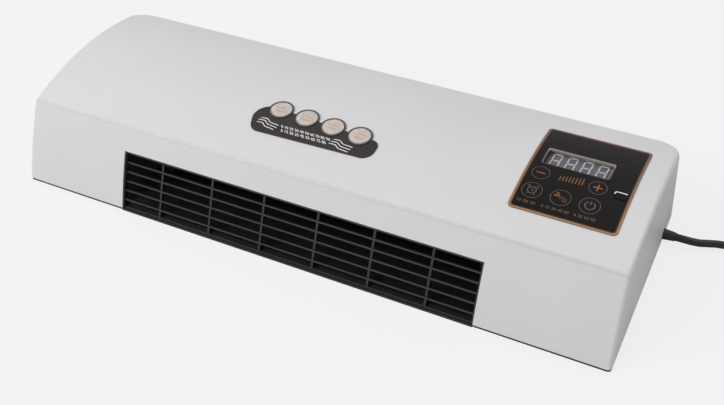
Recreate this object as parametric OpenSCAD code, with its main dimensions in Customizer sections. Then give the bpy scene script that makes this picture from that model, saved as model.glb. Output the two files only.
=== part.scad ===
// Wall-mounted fan heater, lying on its back: X along the body, -Y the air outlet side,
// +Z away from the wall. The origin is on the back face, close to its middle.

/* [Body] */
// Length of the cover at its lower edge
body_l = 560; // [540:5:600]
// Width of the body from the outlet edge to the intake wall
body_w = 198; // [192:1:206]
// Height of the cover's crown above the wall face
body_h = 79.5; // [78:0.5:84]
// Radius of the crowned face, about an axis along X
crown_r = 268; // [250:1:300]
// Place of the crown's highest line, from the middle towards the intake wall
crown_y = 4.2; // [-4:0.2:8]
// Radius of the outlet face's slight bulge
front_r = 500; // [400:10:900]
// Setback of the crease from the cover's lower front edge
crease_back = 35.8; // [33:0.2:38]
// Plan radius of the two corners on the intake side
corner_r = 25.5; // [20:0.5:30]
// Radius of the crease between the outlet face and the crowned face
crease_r = 3; // [2:0.5:4]
// Draft of the end walls and the intake wall, in degrees
draft = 2.4; // [1.5:0.1:3]
// Rounding between the crowned face and the end walls
edge_r = 4.5; // [3:0.5:6]
// Rounding between the outlet face and the end walls
end_r = 3.5; // [2.5:0.5:5]
// Wall thickness of the cover
wall = 2.4; // [2:0.1:2.8]

/* [Back plate] */
// Thickness of the back plate
plate_t = 2.5; // [2:0.1:3]
// How far the plate's outline lies inside the cover's
plate_inset = 0.3; // [0.2:0.1:1]
// How far the plate's lip stands out in front of the cover, below the outlet
lip_out = 0.5; // [0.3:0.1:1.5]
// Height of the rim that centres the cover
rim_h = 3.5; // [3:0.5:5]
// Distance between the two keyholes
key_span = 450; // [440:2:460]
// Place of the keyholes' round entries, from the middle
keyhole_y = 65; // [62:1:68]
// Radius of a keyhole's round entry
entry_r = 4.5; // [4:0.1:5]
// Width of a keyhole's neck
neck_w = 5; // [4.6:0.1:5.5]
// Length of a keyhole's neck from the entry's centre
neck_l = 11; // [10:0.5:12]
// Free height above the wall face for a screw's head
head_room = 6; // [5:0.5:6.5]

/* [Outlet and intake] */
// Width of the outlet opening
outlet_w = 341; // [337:1:345]
// Height of the outlet opening along the leaning face
outlet_h = 54.8; // [52:0.2:56]
// Place of the outlet's middle along the body
outlet_x = -1.5; // [-2:0.5:1]
// Number of upright ribs in the outlet grille
rib_n = 6; // [5:1:8]
// Distance between two upright ribs
rib_pitch = 51.8; // [48:0.2:54]
// Place of the ribs' middle, from the outlet's middle
rib_x = -1.5; // [-2:0.5:2]
// Number of rows between the level bars
row_n = 6; // [5:1:8]
// Distance between two level bars, counted down from the highest
row_pitch = 8.85; // [6:0.05:9]
// Thickness of an upright rib
rib_t = 2; // [1.5:0.1:2.5]
// Thickness of a level bar
bar_t = 1.4; // [1.2:0.1:2]
// Depth of the grille's bars
bar_d = 3.2; // [2.5:0.1:4]
// Depth of the grille's bars behind the chord of the outlet face
grille_back = 1.4; // [1:0.1:2.4]
// Width of the grille's lip inside the outlet opening
grille_lip = 1.3; // [1:0.1:2]
// Height of the lowest bar above the outlet's lower edge, along the leaning face
grille_sill = 0.4; // [0.2:0.1:2]
// Width of the intake opening in the intake wall
intake_w = 324; // [300:4:330]
// Height of the intake opening
intake_h = 38; // [34:1:40]
// Height of the intake opening's lower edge above the wall face
intake_z = 13; // [12:0.5:14]

/* [Control panel] */
// Width of the panel overlay
panel_w = 86.6; // [84:0.2:90]
// Height of the panel overlay
panel_h = 104; // [100:1:108]
// Distance from the panel's middle to the body's end
panel_inset = 65.7; // [64:0.1:72]
// Place of the panel's middle across the body
panel_y = 18; // [14:0.1:20]
// Thickness of the overlay
overlay_t = 0.5; // [0.4:0.1:0.8]
// Distance between neighbouring keys along the body
key_dx = 23.1; // [22.6:0.1:24]
// Distance between the two key rows
key_dy = 20.4; // [20:0.2:22]
// Cap radius of the three large keys
big_key_r = 8.3; // [7.8:0.1:8.6]
// Cap radius of the minus and plus keys
small_key_r = 7.4; // [7:0.1:7.8]
// Gap round a key's cap
key_gap = 0.25; // [0.2:0.01:0.3]
// Travel of a key
key_travel = 0.5; // [0.3:0.1:0.5]
// Width of the display window's visible opening
window_w = 54; // [50:0.5:56]
// Height of the display window's visible opening
window_h = 18.8; // [16:0.2:20]
// Width of the display block
display_w = 50.4; // [48:0.2:52]
// Depth of the display block across the body
display_d = 24; // [19:0.5:24.5]

/* [Badge] */
// Radius of a badge disc
disc_r = 9.5; // [9:0.1:10.2]
// Width of the raised ring round a disc
ring_w = 1.7; // [1.3:0.1:2]
// Height of the rings above the badge plate
ring_h = 0.4; // [0.2:0.1:1.2]
// Distance between two discs
disc_pitch = 26.3; // [25.5:0.1:28]
// Number of discs
disc_n = 4; // [3:1:5]
// Thickness of the badge plate
badge_t = 0.8; // [0.6:0.1:1.2]
// Thickness of a disc on the plate
disc_t = 0.3; // [0.2:0.1:1]

/* [Fan and duct] */
// Place of the fan's axis across the body
fan_y = 39; // [36:0.5:40]
// Height of the fan's axis above the wall face
fan_z = 35; // [35:0.5:37]
// Outer radius of the fan rotor
fan_r = 27; // [25:0.5:27.5]
// Gap between the fan rotor and each end of the duct
fan_end_gap = 6; // [5:0.5:15]
// Number of blades
blade_n = 24; // [18:1:32]
// Thickness of the duct's sheet metal
sheet = 1; // [0.8:0.1:1.2]
// Running gap between rotor and scroll
scroll_gap = 4; // [2.5:0.1:4]
// Radius of the fan shaft
shaft_r = 2.5; // [2:0.1:3]
// Radius of the motor's rotor
armature_r = 13; // [11:0.5:14]
// Thickness of the motor's stack of laminations
stack_l = 16; // [14:1:18]
// Height of the motor's laminations
stack_h = 42; // [40:1:44]
// Distance from the duct to the middle of the motor
motor_gap = 40; // [36:1:44]

/* [Heating element] */
// Distance from the fins to each end of the duct
core_end_gap = 18; // [16:1:30]
// Depth of the element along the air flow
core_d = 14; // [12:1:18]
// Distance from the middle to the element's middle, towards the outlet
core_y = -35; // [-42:1:-32]
// Pitch of the corrugated fins
fin_pitch = 6; // [4:1:9]

/* [Supply cord] */
// Diameter of the cord
cord_d = 6.4; // [6:0.1:7]
// Radius of the coil where its spiral reverses
coil_r = 26.5; // [26:0.5:32]
// Turns of the coil on the way in, and again on the way out
coil_turns = 3; // [2:1:4]
// Gap between neighbouring turns
turn_gap = 0.6; // [0.5:0.1:1]
// Radius of a plug pin
pin_r = 2.4; // [2.3:0.05:2.5]
// Free length of a plug pin
pin_l = 19; // [18:0.5:20]
// Distance between the plug pins
pin_span = 19; // [18:0.5:20]

/* [Hidden] */
$fn = 96;
half_l = body_l / 2;
body_mid = 1;
rear_y = body_mid + body_w / 2;
front_y = rear_y - body_w;
fit = 0.2;
seat = 0.1;
glue = 0.05;
skim = 0.02;
over = 1;
tan_draft = tan(draft);
crown_z = body_h - crown_r;
crease_y = front_y + crease_back;
crease_z = crown_top(crease_y, 0);
front_chord = norm([crease_back, crease_z - plate_t]);
chord_lean = atan2(crease_back, crease_z - plate_t);
end_top_x = half_l - (crease_z - plate_t) * tan_draft;
panel_x = half_l - panel_inset;
key_row1 = panel_y - 30.8;
key_row2 = key_row1 + key_dy;
key_left = panel_x - 30.3;
window_x = panel_x - 6.2;
window_y = panel_y + 10.9;
display_x = panel_x - 7.55;
display_y = panel_y + 12.1;
digit_w = 8;
digit_l = 17;
digit_pitch = 12.7;
stroke_w = 1.2;
board_drop = 13.5;
board_z = body_h - board_drop;
board_t = 1.6;
board_w = panel_w - 6;
switch_h = 3.5;
actuator_h = 1.5;
actuator_gap = key_travel + 0.05;
keys = [[key_left, key_row2, small_key_r], [key_left + 2 * key_dx, key_row2, small_key_r],
    [key_left, key_row1, big_key_r], [key_left + key_dx, key_row1, big_key_r],
    [key_left + 2 * key_dx, key_row1, big_key_r]];
disc_row = [-48.1, -1.3];
disc_drop = -1.83;
badge_rounds = [[-54.5, -14, 14], [-56, -20.6, 10.4], [40, -18.2, 10.4], [43.3, -14.3, 7.1]];
boss_h = plate_t + 3;
post_r = 4;
screw_r = 1.45;
pilot_r = 1.5;
screw_head_r = 3;
post_x = half_l - 18;
mid_post_x = outlet_w / 2 + 13;
cover_posts = [[-post_x, front_y + 37], [post_x, front_y + 37], [-post_x, rear_y - 14], [post_x, rear_y - 14],
    [-mid_post_x, rear_y - 15], [mid_post_x, rear_y - 15]];
duct_x = outlet_w / 2;
fan_l = outlet_w - 2 * fan_end_gap;
core_l = outlet_w - 2 * core_end_gap;
scroll_r = fan_r + scroll_gap;
floor_z = fan_z - scroll_r - sheet;
ceiling_drop = 24.5;
ceiling_z = body_h - ceiling_drop;
core_gap = 0.5;
core_h = ceiling_z - floor_z - sheet - 2 * core_gap;
core_z = floor_z + sheet + core_gap + core_h / 2;
tube_t = 4;
strip_h = (core_h - 3 * tube_t) / 4;
core_step = strip_h + tube_t;
motor_x = -duct_x - sheet - motor_gap;
limb_w = 8;
coil_window_w = 18;
coil_window_h = 22;
stack_back = 20;
stack_front = stack_back + limb_w + coil_window_w;
bridge_t = 3;
bridge_gap = 4.5;
pcb_t = 1.6;
power_in = duct_x + sheet + 14;
power_out = half_l - 26;
power_x = (power_in + power_out) / 2;
power_y = -14;
power_w = power_out - power_in;
power_d = 92;
power_z = 12;
exit_y = 49;
exit_z = 7.2;
relief_in = half_l - 16;
clamp_x = half_l - 20;
clamp_hole = 9.5;
relief_out = half_l + 10;
cord_r = cord_d / 2;
tie_t = 0.6;
lay_z = cord_r + tie_t + 0.2;
coil_pitch = cord_d + turn_gap;
coil_rise = cord_d + 0.5;
coil_deg = 720 * coil_turns;
coil_step = 15;
coil_out = coil_r + coil_turns * coil_pitch;
coil_c = [384, 60 + coil_out];
tail_x = 406;
cord_points = [[290, 49, 7.2], [297, 49, 7.2], [303, 49.8, 6.4], [309, 51.8, 5], [315, 54.6, 4.2],
    [322, 57, 4], [332, 58.8, 4], [344, 59.8, 4], [356, 60, 4], [368, 60, 4], [378, 60, 4], [384, 60, 4]];

function crown_top(y, i) = crown_z + sqrt(pow(crown_r - i, 2) - pow(y - crown_y, 2));

// The crowned block, a turned shape about an axis along X with rounded ends
module crown_barrel(i) {
    r = crown_r - i;
    h = end_top_x - i;
    e = max(edge_r - i, 0.5);
    end = half_l + over;
    low = r - e - (end - h) / tan(draft + 3);
    translate([0, crown_y, crown_z]) rotate([0, 90, 0]) rotate_extrude($fn = 180) {
        translate([0, -h + e]) square([r, 2 * (h - e)]);
        polygon([[0, -end], [low, -end], [r - e, -h], [r - e, h], [low, end], [0, end]]);
        for (s = [-1, 1]) translate([r - e, s * (h - e)]) circle(e, $fn = 48);
    }
}

// The plan of the body with drafted ends, a drafted intake wall and two round corners
module drafted_block(i, z0) {
    top = body_h + over;
    x0 = half_l - i - (z0 - plate_t) * tan_draft;
    x1 = half_l - i - (top - plate_t) * tan_draft;
    y0 = rear_y - i - (z0 - plate_t) * tan_draft;
    y1 = rear_y - i - (top - plate_t) * tan_draft;
    cx = half_l - corner_r;
    cy = rear_y - corner_r;
    translate([0, cy, 0]) rotate([90, 0, 0]) linear_extrude(body_w + 20)
        polygon([[-x0, z0], [x0, z0], [x1, top], [-x1, top]]);
    translate([-cx, 0, 0]) rotate([90, 0, 90]) linear_extrude(2 * cx)
        polygon([[front_y - 20, z0], [y0, z0], [y1, top], [front_y - 20, top]]);
    for (s = [-1, 1]) translate([s * cx, cy, z0])
        cylinder(h = top - z0, r1 = y0 - cy, r2 = y1 - cy);
}

// Middle of the outlet face's bulge, in Y and Z
function bulge_middle() = let (reach = sqrt(pow(front_r, 2) - pow(front_chord / 2, 2)))
    [front_y + crease_back / 2 + reach * cos(chord_lean), (plate_t + crease_z) / 2 - reach * sin(chord_lean)];

// The leaning, slightly bulging outlet face
module front_face(i) {
    translate([-half_l - over, bulge_middle()[0], bulge_middle()[1]])
        rotate([0, 90, 0]) cylinder(h = body_l + 2 * over, r = front_r - i, $fn = 240);
}

// Where two circles cross, on the side of the outlet
function crossing(a, ra, b, rb) = let (d = norm(b - a), u = (b - a) / d,
    s = (ra * ra - rb * rb + d * d) / (2 * d), h = sqrt(ra * ra - s * s)) a + s * u + h * [-u[1], u[0]];

// What the rounding takes off the crease between the two faces
module crease_cut() {
    crown_c = [crown_y, crown_z];
    middle = crossing(crown_c, crown_r - crease_r, bulge_middle(), front_r - crease_r);
    up = 3 * crease_r * (middle - crown_c) / norm(middle - crown_c);
    out = 3 * crease_r * (middle - bulge_middle()) / norm(middle - bulge_middle());
    translate([-half_l - over, 0, 0]) rotate([90, 0, 90]) linear_extrude(body_l + 2 * over) difference() {
        polygon([middle, middle + up, middle + up + out, middle + out]);
        translate(middle) circle(crease_r + skim);
    }
}

// What the rounding takes off the two upright edges between the outlet face and the end walls
module end_edge_cut() {
    depth_z = (plate_t + crease_z) / 2 - end_r * sin(chord_lean);
    wall_x = half_l - (depth_z - plate_t) * tan_draft;
    lean = atan(tan_draft * cos(chord_lean));
    for (s = [0, 1]) mirror([s, 0, 0]) translate([wall_x, bulge_middle()[0], bulge_middle()[1]])
        rotate(lean, [0, -cos(chord_lean), sin(chord_lean)]) rotate([0, 90, 0])
            rotate_extrude($fn = 240) translate([front_r - end_r, -end_r]) difference() {
                square(3 * end_r);
                circle(end_r + skim);
            }
}

module cover_form(i, z0) {
    intersection() {
        crown_barrel(i);
        drafted_block(i, z0);
        front_face(i);
    }
}

// Local axes on the outlet face: X along the body, Y up the face, Z outwards
module on_front() {
    translate([0, front_y, plate_t]) rotate([90 - chord_lean, 0, 0]) children();
}

module bar(w, d, h, r) {
    linear_extrude(h) rounded(w, d, r);
}

module rounded(w, d, r) {
    square([w - 2 * r, d], center = true);
    square([w, d - 2 * r], center = true);
    for (x = [-1, 1], y = [-1, 1]) translate([x * (w / 2 - r), y * (d / 2 - r)]) circle(r, $fn = 40);
}

// A skin that follows the crowned face between two heights above it
module crown_skin(low, high) {
    translate([-half_l, crown_y, crown_z]) rotate([0, 90, 0]) difference() {
        cylinder(h = body_l, r = crown_r + high, $fn = 180);
        translate([0, 0, -over]) cylinder(h = body_l + 2 * over, r = crown_r + low, $fn = 180);
    }
}

module above(z) {
    translate([-half_l * 2, -body_w, z]) cube([body_l * 2, body_w * 2, 200]);
}

// Casing

module front_cover() {
    color("whitesmoke") difference() {
        union() {
            difference() {
                cover_form(0, plate_t);
                cover_form(wall, plate_t - over);
            }
            intersection() {
                cover_form(wall / 2, plate_t);
                for (p = cover_posts) translate([p[0], p[1], boss_h + seat]) cylinder(h = body_h, r = post_r);
            }
            intersection() {
                cover_form(wall / 2, plate_t);
                for (p = board_posts()) translate([p[0], p[1], board_z + board_t])
                    cylinder(h = body_h, r = 2.6, $fn = 40);
            }
        }
        for (p = cover_posts) translate([p[0], p[1], 0]) cylinder(h = boss_h + 22, r = pilot_r, $fn = 40);
        for (p = board_posts()) translate([p[0], p[1], 0])
            cylinder(h = board_z + board_t + 3.2, r = 1.05, $fn = 40);
        crease_cut();
        end_edge_cut();
        outlet_cut();
        intake_cut();
        relief_cut();
        window_cut(1.2, 20);
        for (k = keys) translate([k[0], k[1], board_z]) cylinder(h = 30, r = k[2] + key_gap);
        lens_cut(0, 20);
    }
}

module outlet_cut() {
    on_front() translate([outlet_x - outlet_w / 2, -12, -12]) cube([outlet_w, outlet_h + 12, 24]);
}

module intake_cut() {
    translate([-intake_w / 2, rear_y - 12, intake_z]) cube([intake_w, 24, intake_h]);
}

module relief_cut() {
    translate([half_l - 8, exit_y, exit_z]) rotate([0, 90, 0]) cylinder(h = 20, r = relief_neck_r + fit / 2);
    translate([half_l - 8, exit_y - relief_neck_r - fit / 2, -over])
        cube([20, 2 * relief_neck_r + fit, exit_z + over]);
}

module window_cut(grow, depth) {
    translate([window_x, window_y, body_h - depth]) linear_extrude(2 * depth)
        rounded(window_w + 2 * grow, window_h + 2 * grow, 1.5);
}

lens_w = 10.6;
lens_h = 8;
lens_x = panel_x + 34.7;
lens_y = key_row2 - 2.5;

module lens_cut(grow, depth) {
    translate([lens_x, lens_y, body_h - depth]) linear_extrude(2 * depth)
        rounded(lens_w + 2 * grow, lens_h + 2 * grow, 2.5);
}

function board_posts() = [for (x = [-1, 1], y = [-1, 1])
    [panel_x + x * (board_w / 2 - 4.5), panel_y + y * (panel_h / 2 - 5)]];

module plate_plan(i) {
    cx = half_l - corner_r;
    cy = rear_y - corner_r;
    r = max(end_r - i, 0.2);
    fx = half_l - i - r;
    fy = front_y + i + r;
    translate([-half_l + i, fy]) square([body_l - 2 * i, cy - fy]);
    translate([-fx, front_y + i]) square([2 * fx, cy - front_y - i]);
    translate([-cx, front_y + i]) square([2 * cx, body_w - 2 * i]);
    for (s = [-1, 1]) {
        translate([s * cx, cy]) circle(corner_r - i);
        translate([s * fx, fy]) circle(r, $fn = 40);
    }
}

module back_plate() {
    color("#1c1c1e") difference() {
        union() {
            linear_extrude(plate_t) plate_plan(plate_inset);
            difference() {
                linear_extrude(plate_t + rim_h) plate_plan(wall + 0.6);
                linear_extrude(plate_t + rim_h + over) plate_plan(wall + 2.2);
                translate([-half_l, front_y, plate_t]) cube([body_l, 14, rim_h + over]);
                translate([relief_in, exit_y - 9, plate_t]) cube([30, 18, rim_h + over]);
            }
            for (p = cover_posts) translate([p[0], p[1], 0]) cylinder(h = boss_h, r = screw_head_r + 2);
            for (s = [-1, 1]) translate([s * key_span / 2, keyhole_y + neck_l / 2, 0])
                bar(2 * entry_r + 4, neck_l + 2 * entry_r + 4, head_room + 1.5, 3);
            for (p = power_posts()) translate([p[0], p[1], 0]) cylinder(h = power_z, r = 3);
            for (p = duct_posts()) translate([p[0], p[1], 0]) cylinder(h = floor_z - seat, r = 4);
            for (x = [-1, 1]) translate([clamp_x, exit_y + x * clamp_hole, 0]) cylinder(h = exit_z, r = 2.6);
            on_plate_lip();
        }
        for (p = cover_posts) translate([p[0], p[1], -over]) {
            cylinder(h = boss_h - 2 + over, r = screw_head_r + 0.5);
            cylinder(h = boss_h + 2 * over, r = screw_r + 0.2);
        }
        for (s = [-1, 1]) translate([s * key_span / 2, keyhole_y, -over]) {
            cylinder(h = plate_t + 2 * over, r = entry_r);
            translate([-neck_w / 2, 0, 0]) cube([neck_w, neck_l, plate_t + 2 * over]);
            translate([0, neck_l, 0]) cylinder(h = plate_t + 2 * over, r = neck_w / 2);
            translate([0, neck_l / 2, plate_t + over])
                bar(2 * entry_r + 1, neck_l + 2 * entry_r + 1, head_room - plate_t, 1.5);
        }
        for (p = power_posts()) translate([p[0], p[1], plate_t]) cylinder(h = power_z, r = 1.05, $fn = 40);
        for (x = [-1, 1]) translate([clamp_x, exit_y + x * clamp_hole, plate_t])
            cylinder(h = 9, r = 1.05, $fn = 40);
    }
}

// The low lip along the plate's front edge, below the outlet
module on_plate_lip() {
    translate([outlet_x - outlet_w / 2 + fit, front_y - lip_out, 0])
        cube([outlet_w - 2 * fit, lip_out + 5, plate_t]);
}

function power_posts() = [for (x = [-1, 1], y = [-1, 1])
    [power_x + x * (power_w / 2 - 5), power_y + y * (power_d / 2 - 5)]];
function duct_posts() = [for (x = [-0.7, 0, 0.7]) [x * duct_x, front_y + 39]];

module cover_screws() {
    color("silver") for (p = cover_posts) translate([p[0], p[1], boss_h - 4.4]) {
        cylinder(h = 2.3, r = screw_head_r);
        cylinder(h = 18, r = screw_r);
    }
}

// Grilles

module outlet_grille() {
    flange = 4;
    lip_back = 0.4;
    back = grille_back + bar_d;
    inner_w = outlet_w - 2 * grille_lip;
    inner_h = outlet_h - grille_lip;
    top_row = inner_h - bar_t;
    color("#2a2a2c") intersection() {
        above(plate_t + fit);
        front_face(lip_back);
        on_front() translate([outlet_x, 0, 0]) {
            difference() {
                union() {
                    translate([-outlet_w / 2 + fit, -over, -back])
                        cube([outlet_w - 2 * fit, outlet_h - fit + over, back + 3]);
                    translate([-outlet_w / 2 - flange, -over, -back])
                        cube([outlet_w + 2 * flange, outlet_h + flange + over, back - wall - 0.3]);
                }
                translate([-inner_w / 2, -2 * over, -back - over])
                    cube([inner_w, inner_h + 2 * over, back + 5]);
            }
            for (k = [0 : rib_n - 1])
                translate([rib_x + (k - (rib_n - 1) / 2) * rib_pitch - rib_t / 2, -over, -back])
                    cube([rib_t, inner_h + 2 * over, bar_d - 0.6]);
            for (y = concat([grille_sill], [for (k = [0 : row_n - 1]) top_row - k * row_pitch]))
                translate([-inner_w / 2 - 0.5, y, -back]) cube([inner_w + 1, bar_t, bar_d]);
        }
    }
}

module intake_grille() {
    edge = 3;
    bars = 8;
    frame_t = 1.6;
    frame_y = rear_y - wall - (intake_z + intake_h + edge - plate_t) * tan_draft - fit - frame_t;
    face_y = rear_y - (intake_z + intake_h - plate_t) * tan_draft - fit;
    pitch = intake_h / bars;
    color("#2a2a2c") {
        difference() {
            translate([-intake_w / 2 - edge, frame_y, intake_z - edge])
                cube([intake_w + 2 * edge, frame_t, intake_h + 2 * edge]);
            translate([-intake_w / 2 + 2, frame_y - over, intake_z + 2])
                cube([intake_w - 4, frame_t + 2 * over, intake_h - 4]);
        }
        for (k = [1 : bars - 1]) translate([-intake_w / 2 + 1, frame_y, intake_z + k * pitch - 0.9])
            cube([intake_w - 2, face_y - frame_y, 1.8]);
        for (k = [-5 : 5]) translate([k * intake_w / 12 - 1, frame_y, intake_z + 1])
            cube([2, face_y - frame_y - 1, intake_h - 2]);
    }
}

// Badge on the crowned face

function disc_at(k) = disc_row + [k * disc_pitch, k * disc_drop];

// Outward direction of the line that touches two rounds of the outline, seen from the first
function touch(a, b) = let (d = [b[0] - a[0], b[1] - a[1]], u = d / norm(d), c = (a[2] - b[2]) / norm(d))
    c * u + sqrt(1 - c * c) * [u[1], -u[0]];

// A bar whose corners are four unlike rounds
module badge_outline() {
    skip = 0.05;
    n = len(badge_rounds);
    for (b = badge_rounds) translate([b[0], b[1]]) circle(b[2]);
    polygon([for (k = [0 : n - 1], end = [k, (k + 1) % n])
        let (b = badge_rounds[end], out = touch(badge_rounds[k], badge_rounds[(k + 1) % n]))
        [b[0], b[1]] + (b[2] - skip) * out]);
}

module badge_plate() {
    color("#45403d") {
        intersection() {
            crown_skin(glue, badge_t);
            linear_extrude(body_h + 20) {
                badge_outline();
                for (k = [0 : disc_n - 1]) translate(disc_at(k)) circle(disc_r + ring_w);
            }
        }
        intersection() {
            crown_skin(badge_t / 2, badge_t + ring_h);
            linear_extrude(body_h + 20) for (k = [0 : disc_n - 1]) translate(disc_at(k)) difference() {
                circle(disc_r + ring_w);
                circle(disc_r + seat);
            }
        }
    }
}

module badge_discs() {
    color("#cfc4c0") intersection() {
        crown_skin(badge_t + glue, badge_t + disc_t);
        linear_extrude(body_h + 20) for (k = [0 : disc_n - 1]) translate(disc_at(k)) circle(disc_r);
    }
}

// Control panel

module panel_overlay() {
    color("#1b191a") difference() {
        intersection() {
            crown_skin(glue, overlay_t);
            translate([panel_x, panel_y, 0]) bar(panel_w, panel_h, body_h + 20, 4);
        }
        window_cut(0, 20);
        for (k = keys) translate([k[0], k[1], board_z]) cylinder(h = 30, r = k[2] + key_gap);
        lens_cut(0, 20);
    }
}

module display_window() {
    color("#8a8890") intersection() {
        crown_skin(-2, -0.05);
        window_cut(1.2 - fit, 20);
    }
}

module led_display() {
    top = crown_top(display_y, 0) - 4.2;
    low = board_z + board_t;
    open_l = (digit_l - 3 * stroke_w) / 2;
    color("#3a393d") translate([display_x - display_w / 2, display_y - display_d / 2, low])
        cube([display_w, display_d, top - low]);
    color("white") for (k = [0 : 3])
        translate([display_x + (k - 1.5) * digit_pitch - digit_w / 2, display_y - digit_l / 2, top - seat])
            difference() {
                cube([digit_w, digit_l, 2 * seat]);
                for (y = [stroke_w, 2 * stroke_w + open_l]) translate([stroke_w, y, -over])
                    cube([digit_w - 2 * stroke_w, open_l, 3]);
            }
}

// One key: a cap flush with the overlay, a lip below the cover and a stem over its switch
module key(k) {
    lip_z = crown_top(crown_y + abs(k[1] - crown_y) + k[2] + 1, wall) - fit;
    stem_z = board_z + board_t + switch_h + actuator_h + actuator_gap;
    color("#1b191a") {
        intersection() {
            translate([k[0], k[1], lip_z]) cylinder(h = 30, r = k[2]);
            crown_skin(-20, overlay_t);
        }
        translate([k[0], k[1], lip_z - 1]) cylinder(h = 1, r = k[2] + 1);
        translate([k[0], k[1], stem_z]) cylinder(h = lip_z - stem_z, r = 2, $fn = 40);
    }
}

module tact_switches() {
    color("#303236") for (k = keys) translate([k[0], k[1], board_z + board_t]) {
        translate([-3, -3, 0]) cube([6, 6, switch_h]);
        cylinder(h = switch_h + actuator_h, r = 1.75, $fn = 40);
    }
}

module control_board() {
    color("darkgreen") difference() {
        translate([panel_x, panel_y, board_z]) bar(board_w, panel_h, board_t, 2);
        for (p = board_posts()) translate([p[0], p[1], board_z - over]) cylinder(h = 4, r = 1.3, $fn = 40);
    }
}

module board_screws() {
    color("silver") for (p = board_posts()) translate([p[0], p[1], board_z - 1.6]) {
        cylinder(h = 1.6, r = 2.4, $fn = 40);
        cylinder(h = 6, r = 1, $fn = 40);
    }
}

module ir_lens() {
    color("#141416") {
        intersection() {
            crown_skin(-wall - 0.4, overlay_t + 0.5);
            lens_cut(-fit, 20);
        }
        intersection() {
            crown_skin(-wall - 1.4, -wall - 0.4);
            lens_cut(1, 20);
        }
    }
}

module ir_receiver() {
    color("#202024") translate([lens_x, lens_y, board_z + board_t]) {
        translate([-3, -2.8, 0]) cube([6, 5.6, 6]);
        translate([0, 0, 6]) cylinder(h = 1.2, r = 2.2, $fn = 40);
    }
}

module buzzer() {
    color("#18181a") translate([panel_x + 34, panel_y + 20, board_z + board_t]) difference() {
        cylinder(h = 5, r = 6);
        translate([0, 0, 3.5]) cylinder(h = 3, r = 1, $fn = 40);
    }
}

// Supply electronics

module power_board() {
    color("#b58a3c") difference() {
        translate([power_x, power_y, power_z]) bar(power_w, power_d, pcb_t, 2);
        for (p = power_posts()) translate([p[0], p[1], power_z - over]) cylinder(h = 4, r = 1.3, $fn = 40);
    }
}

module power_board_screws() {
    color("silver") for (p = power_posts()) translate([p[0], p[1], power_z + pcb_t]) {
        cylinder(h = 1.8, r = 2.4, $fn = 40);
        translate([0, 0, -6]) cylinder(h = 6, r = 1, $fn = 40);
    }
}

module relays() {
    color("#2456a8") for (k = [0, 1])
        translate([power_in + 8 + k * 24, power_y + 12, power_z + pcb_t]) cube([15.5, 19, 15.5]);
}

module film_capacitor() {
    color("gold") translate([power_in + 10, power_y - 32, power_z + pcb_t]) cube([26, 11, 18]);
}

module terminal_block() {
    color("#2f7d4a") translate([power_x + 4, power_y + 36, power_z + pcb_t]) difference() {
        cube([20, 8, 11]);
        for (k = [0 : 2]) translate([3.6 + k * 6.4, 4, 4]) cylinder(h = 10, r = 1.8, $fn = 40);
        for (k = [0 : 2]) translate([3.6 + k * 6.4, 9, 4]) rotate([90, 0, 0])
            cylinder(h = 5, r = 1.4, $fn = 40);
    }
}

// Flat cable from the control board down to the supply board, round the board's edge
module ribbon_cable() {
    x = max(panel_x - board_w / 2, duct_x + sheet) + 1.5;
    low = power_z + pcb_t;
    color("lightgray") translate([x, power_y + 14, low]) {
        cube([0.8, 14, board_z - low]);
        cube([power_x - power_w / 2 + 5 - x, 14, 0.8]);
    }
}

// Air duct

// Foremost place of the duct behind the leaning grille, at height z
function duct_front(z) = front_y + (grille_back + bar_d) / cos(chord_lean)
    + (z - plate_t) * tan(chord_lean) + 1;

module duct_floor() {
    top = floor_z + sheet;
    color("silver") translate([-duct_x, 0, 0]) rotate([90, 0, 90]) linear_extrude(outlet_w) {
        translate([fan_y, fan_z]) difference() {
            circle(scroll_r + sheet);
            circle(scroll_r);
            translate([-2 * scroll_r, -fan_z / 3]) square([4 * scroll_r, 2 * scroll_r]);
            translate([-2 * scroll_r, -2 * scroll_r]) square([2 * scroll_r, 4 * scroll_r]);
        }
        translate([duct_front(top), floor_z]) square([fan_y + 2 - duct_front(top), sheet]);
    }
}

// The ceiling, with the tongue that parts the air at the fan
module duct_ceiling() {
    top = ceiling_z + sheet;
    tongue = [fan_y, fan_z] + (scroll_r - 0.5) * [cos(130), sin(130)];
    bend = [fan_y - scroll_r, ceiling_z];
    color("silver") translate([-duct_x, 0, 0]) rotate([90, 0, 90]) linear_extrude(outlet_w)
        polygon([[duct_front(top), ceiling_z], bend, tongue, tongue + [0, sheet], bend + [0, sheet],
            [duct_front(top), top]]);
}

module duct_end(side) {
    x = side > 0 ? duct_x : -duct_x - sheet;
    top = ceiling_z + sheet;
    back_y = fan_y + scroll_r + 2;
    color("silver") translate([x, 0, 0]) rotate([90, 0, 90]) linear_extrude(sheet) difference() {
        polygon([[duct_front(floor_z), floor_z], [back_y, floor_z], [back_y, fan_z], [fan_y + 20, fan_z + 25],
            [fan_y, fan_z + 29.5], [fan_y - 18, fan_z + 26], [fan_y - scroll_r, top],
            [duct_front(top), top]]);
        translate([fan_y, fan_z]) circle(7);
        translate([core_y, core_z]) circle(3.5, $fn = 40);
    }
}

// Cross-flow fan

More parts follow.
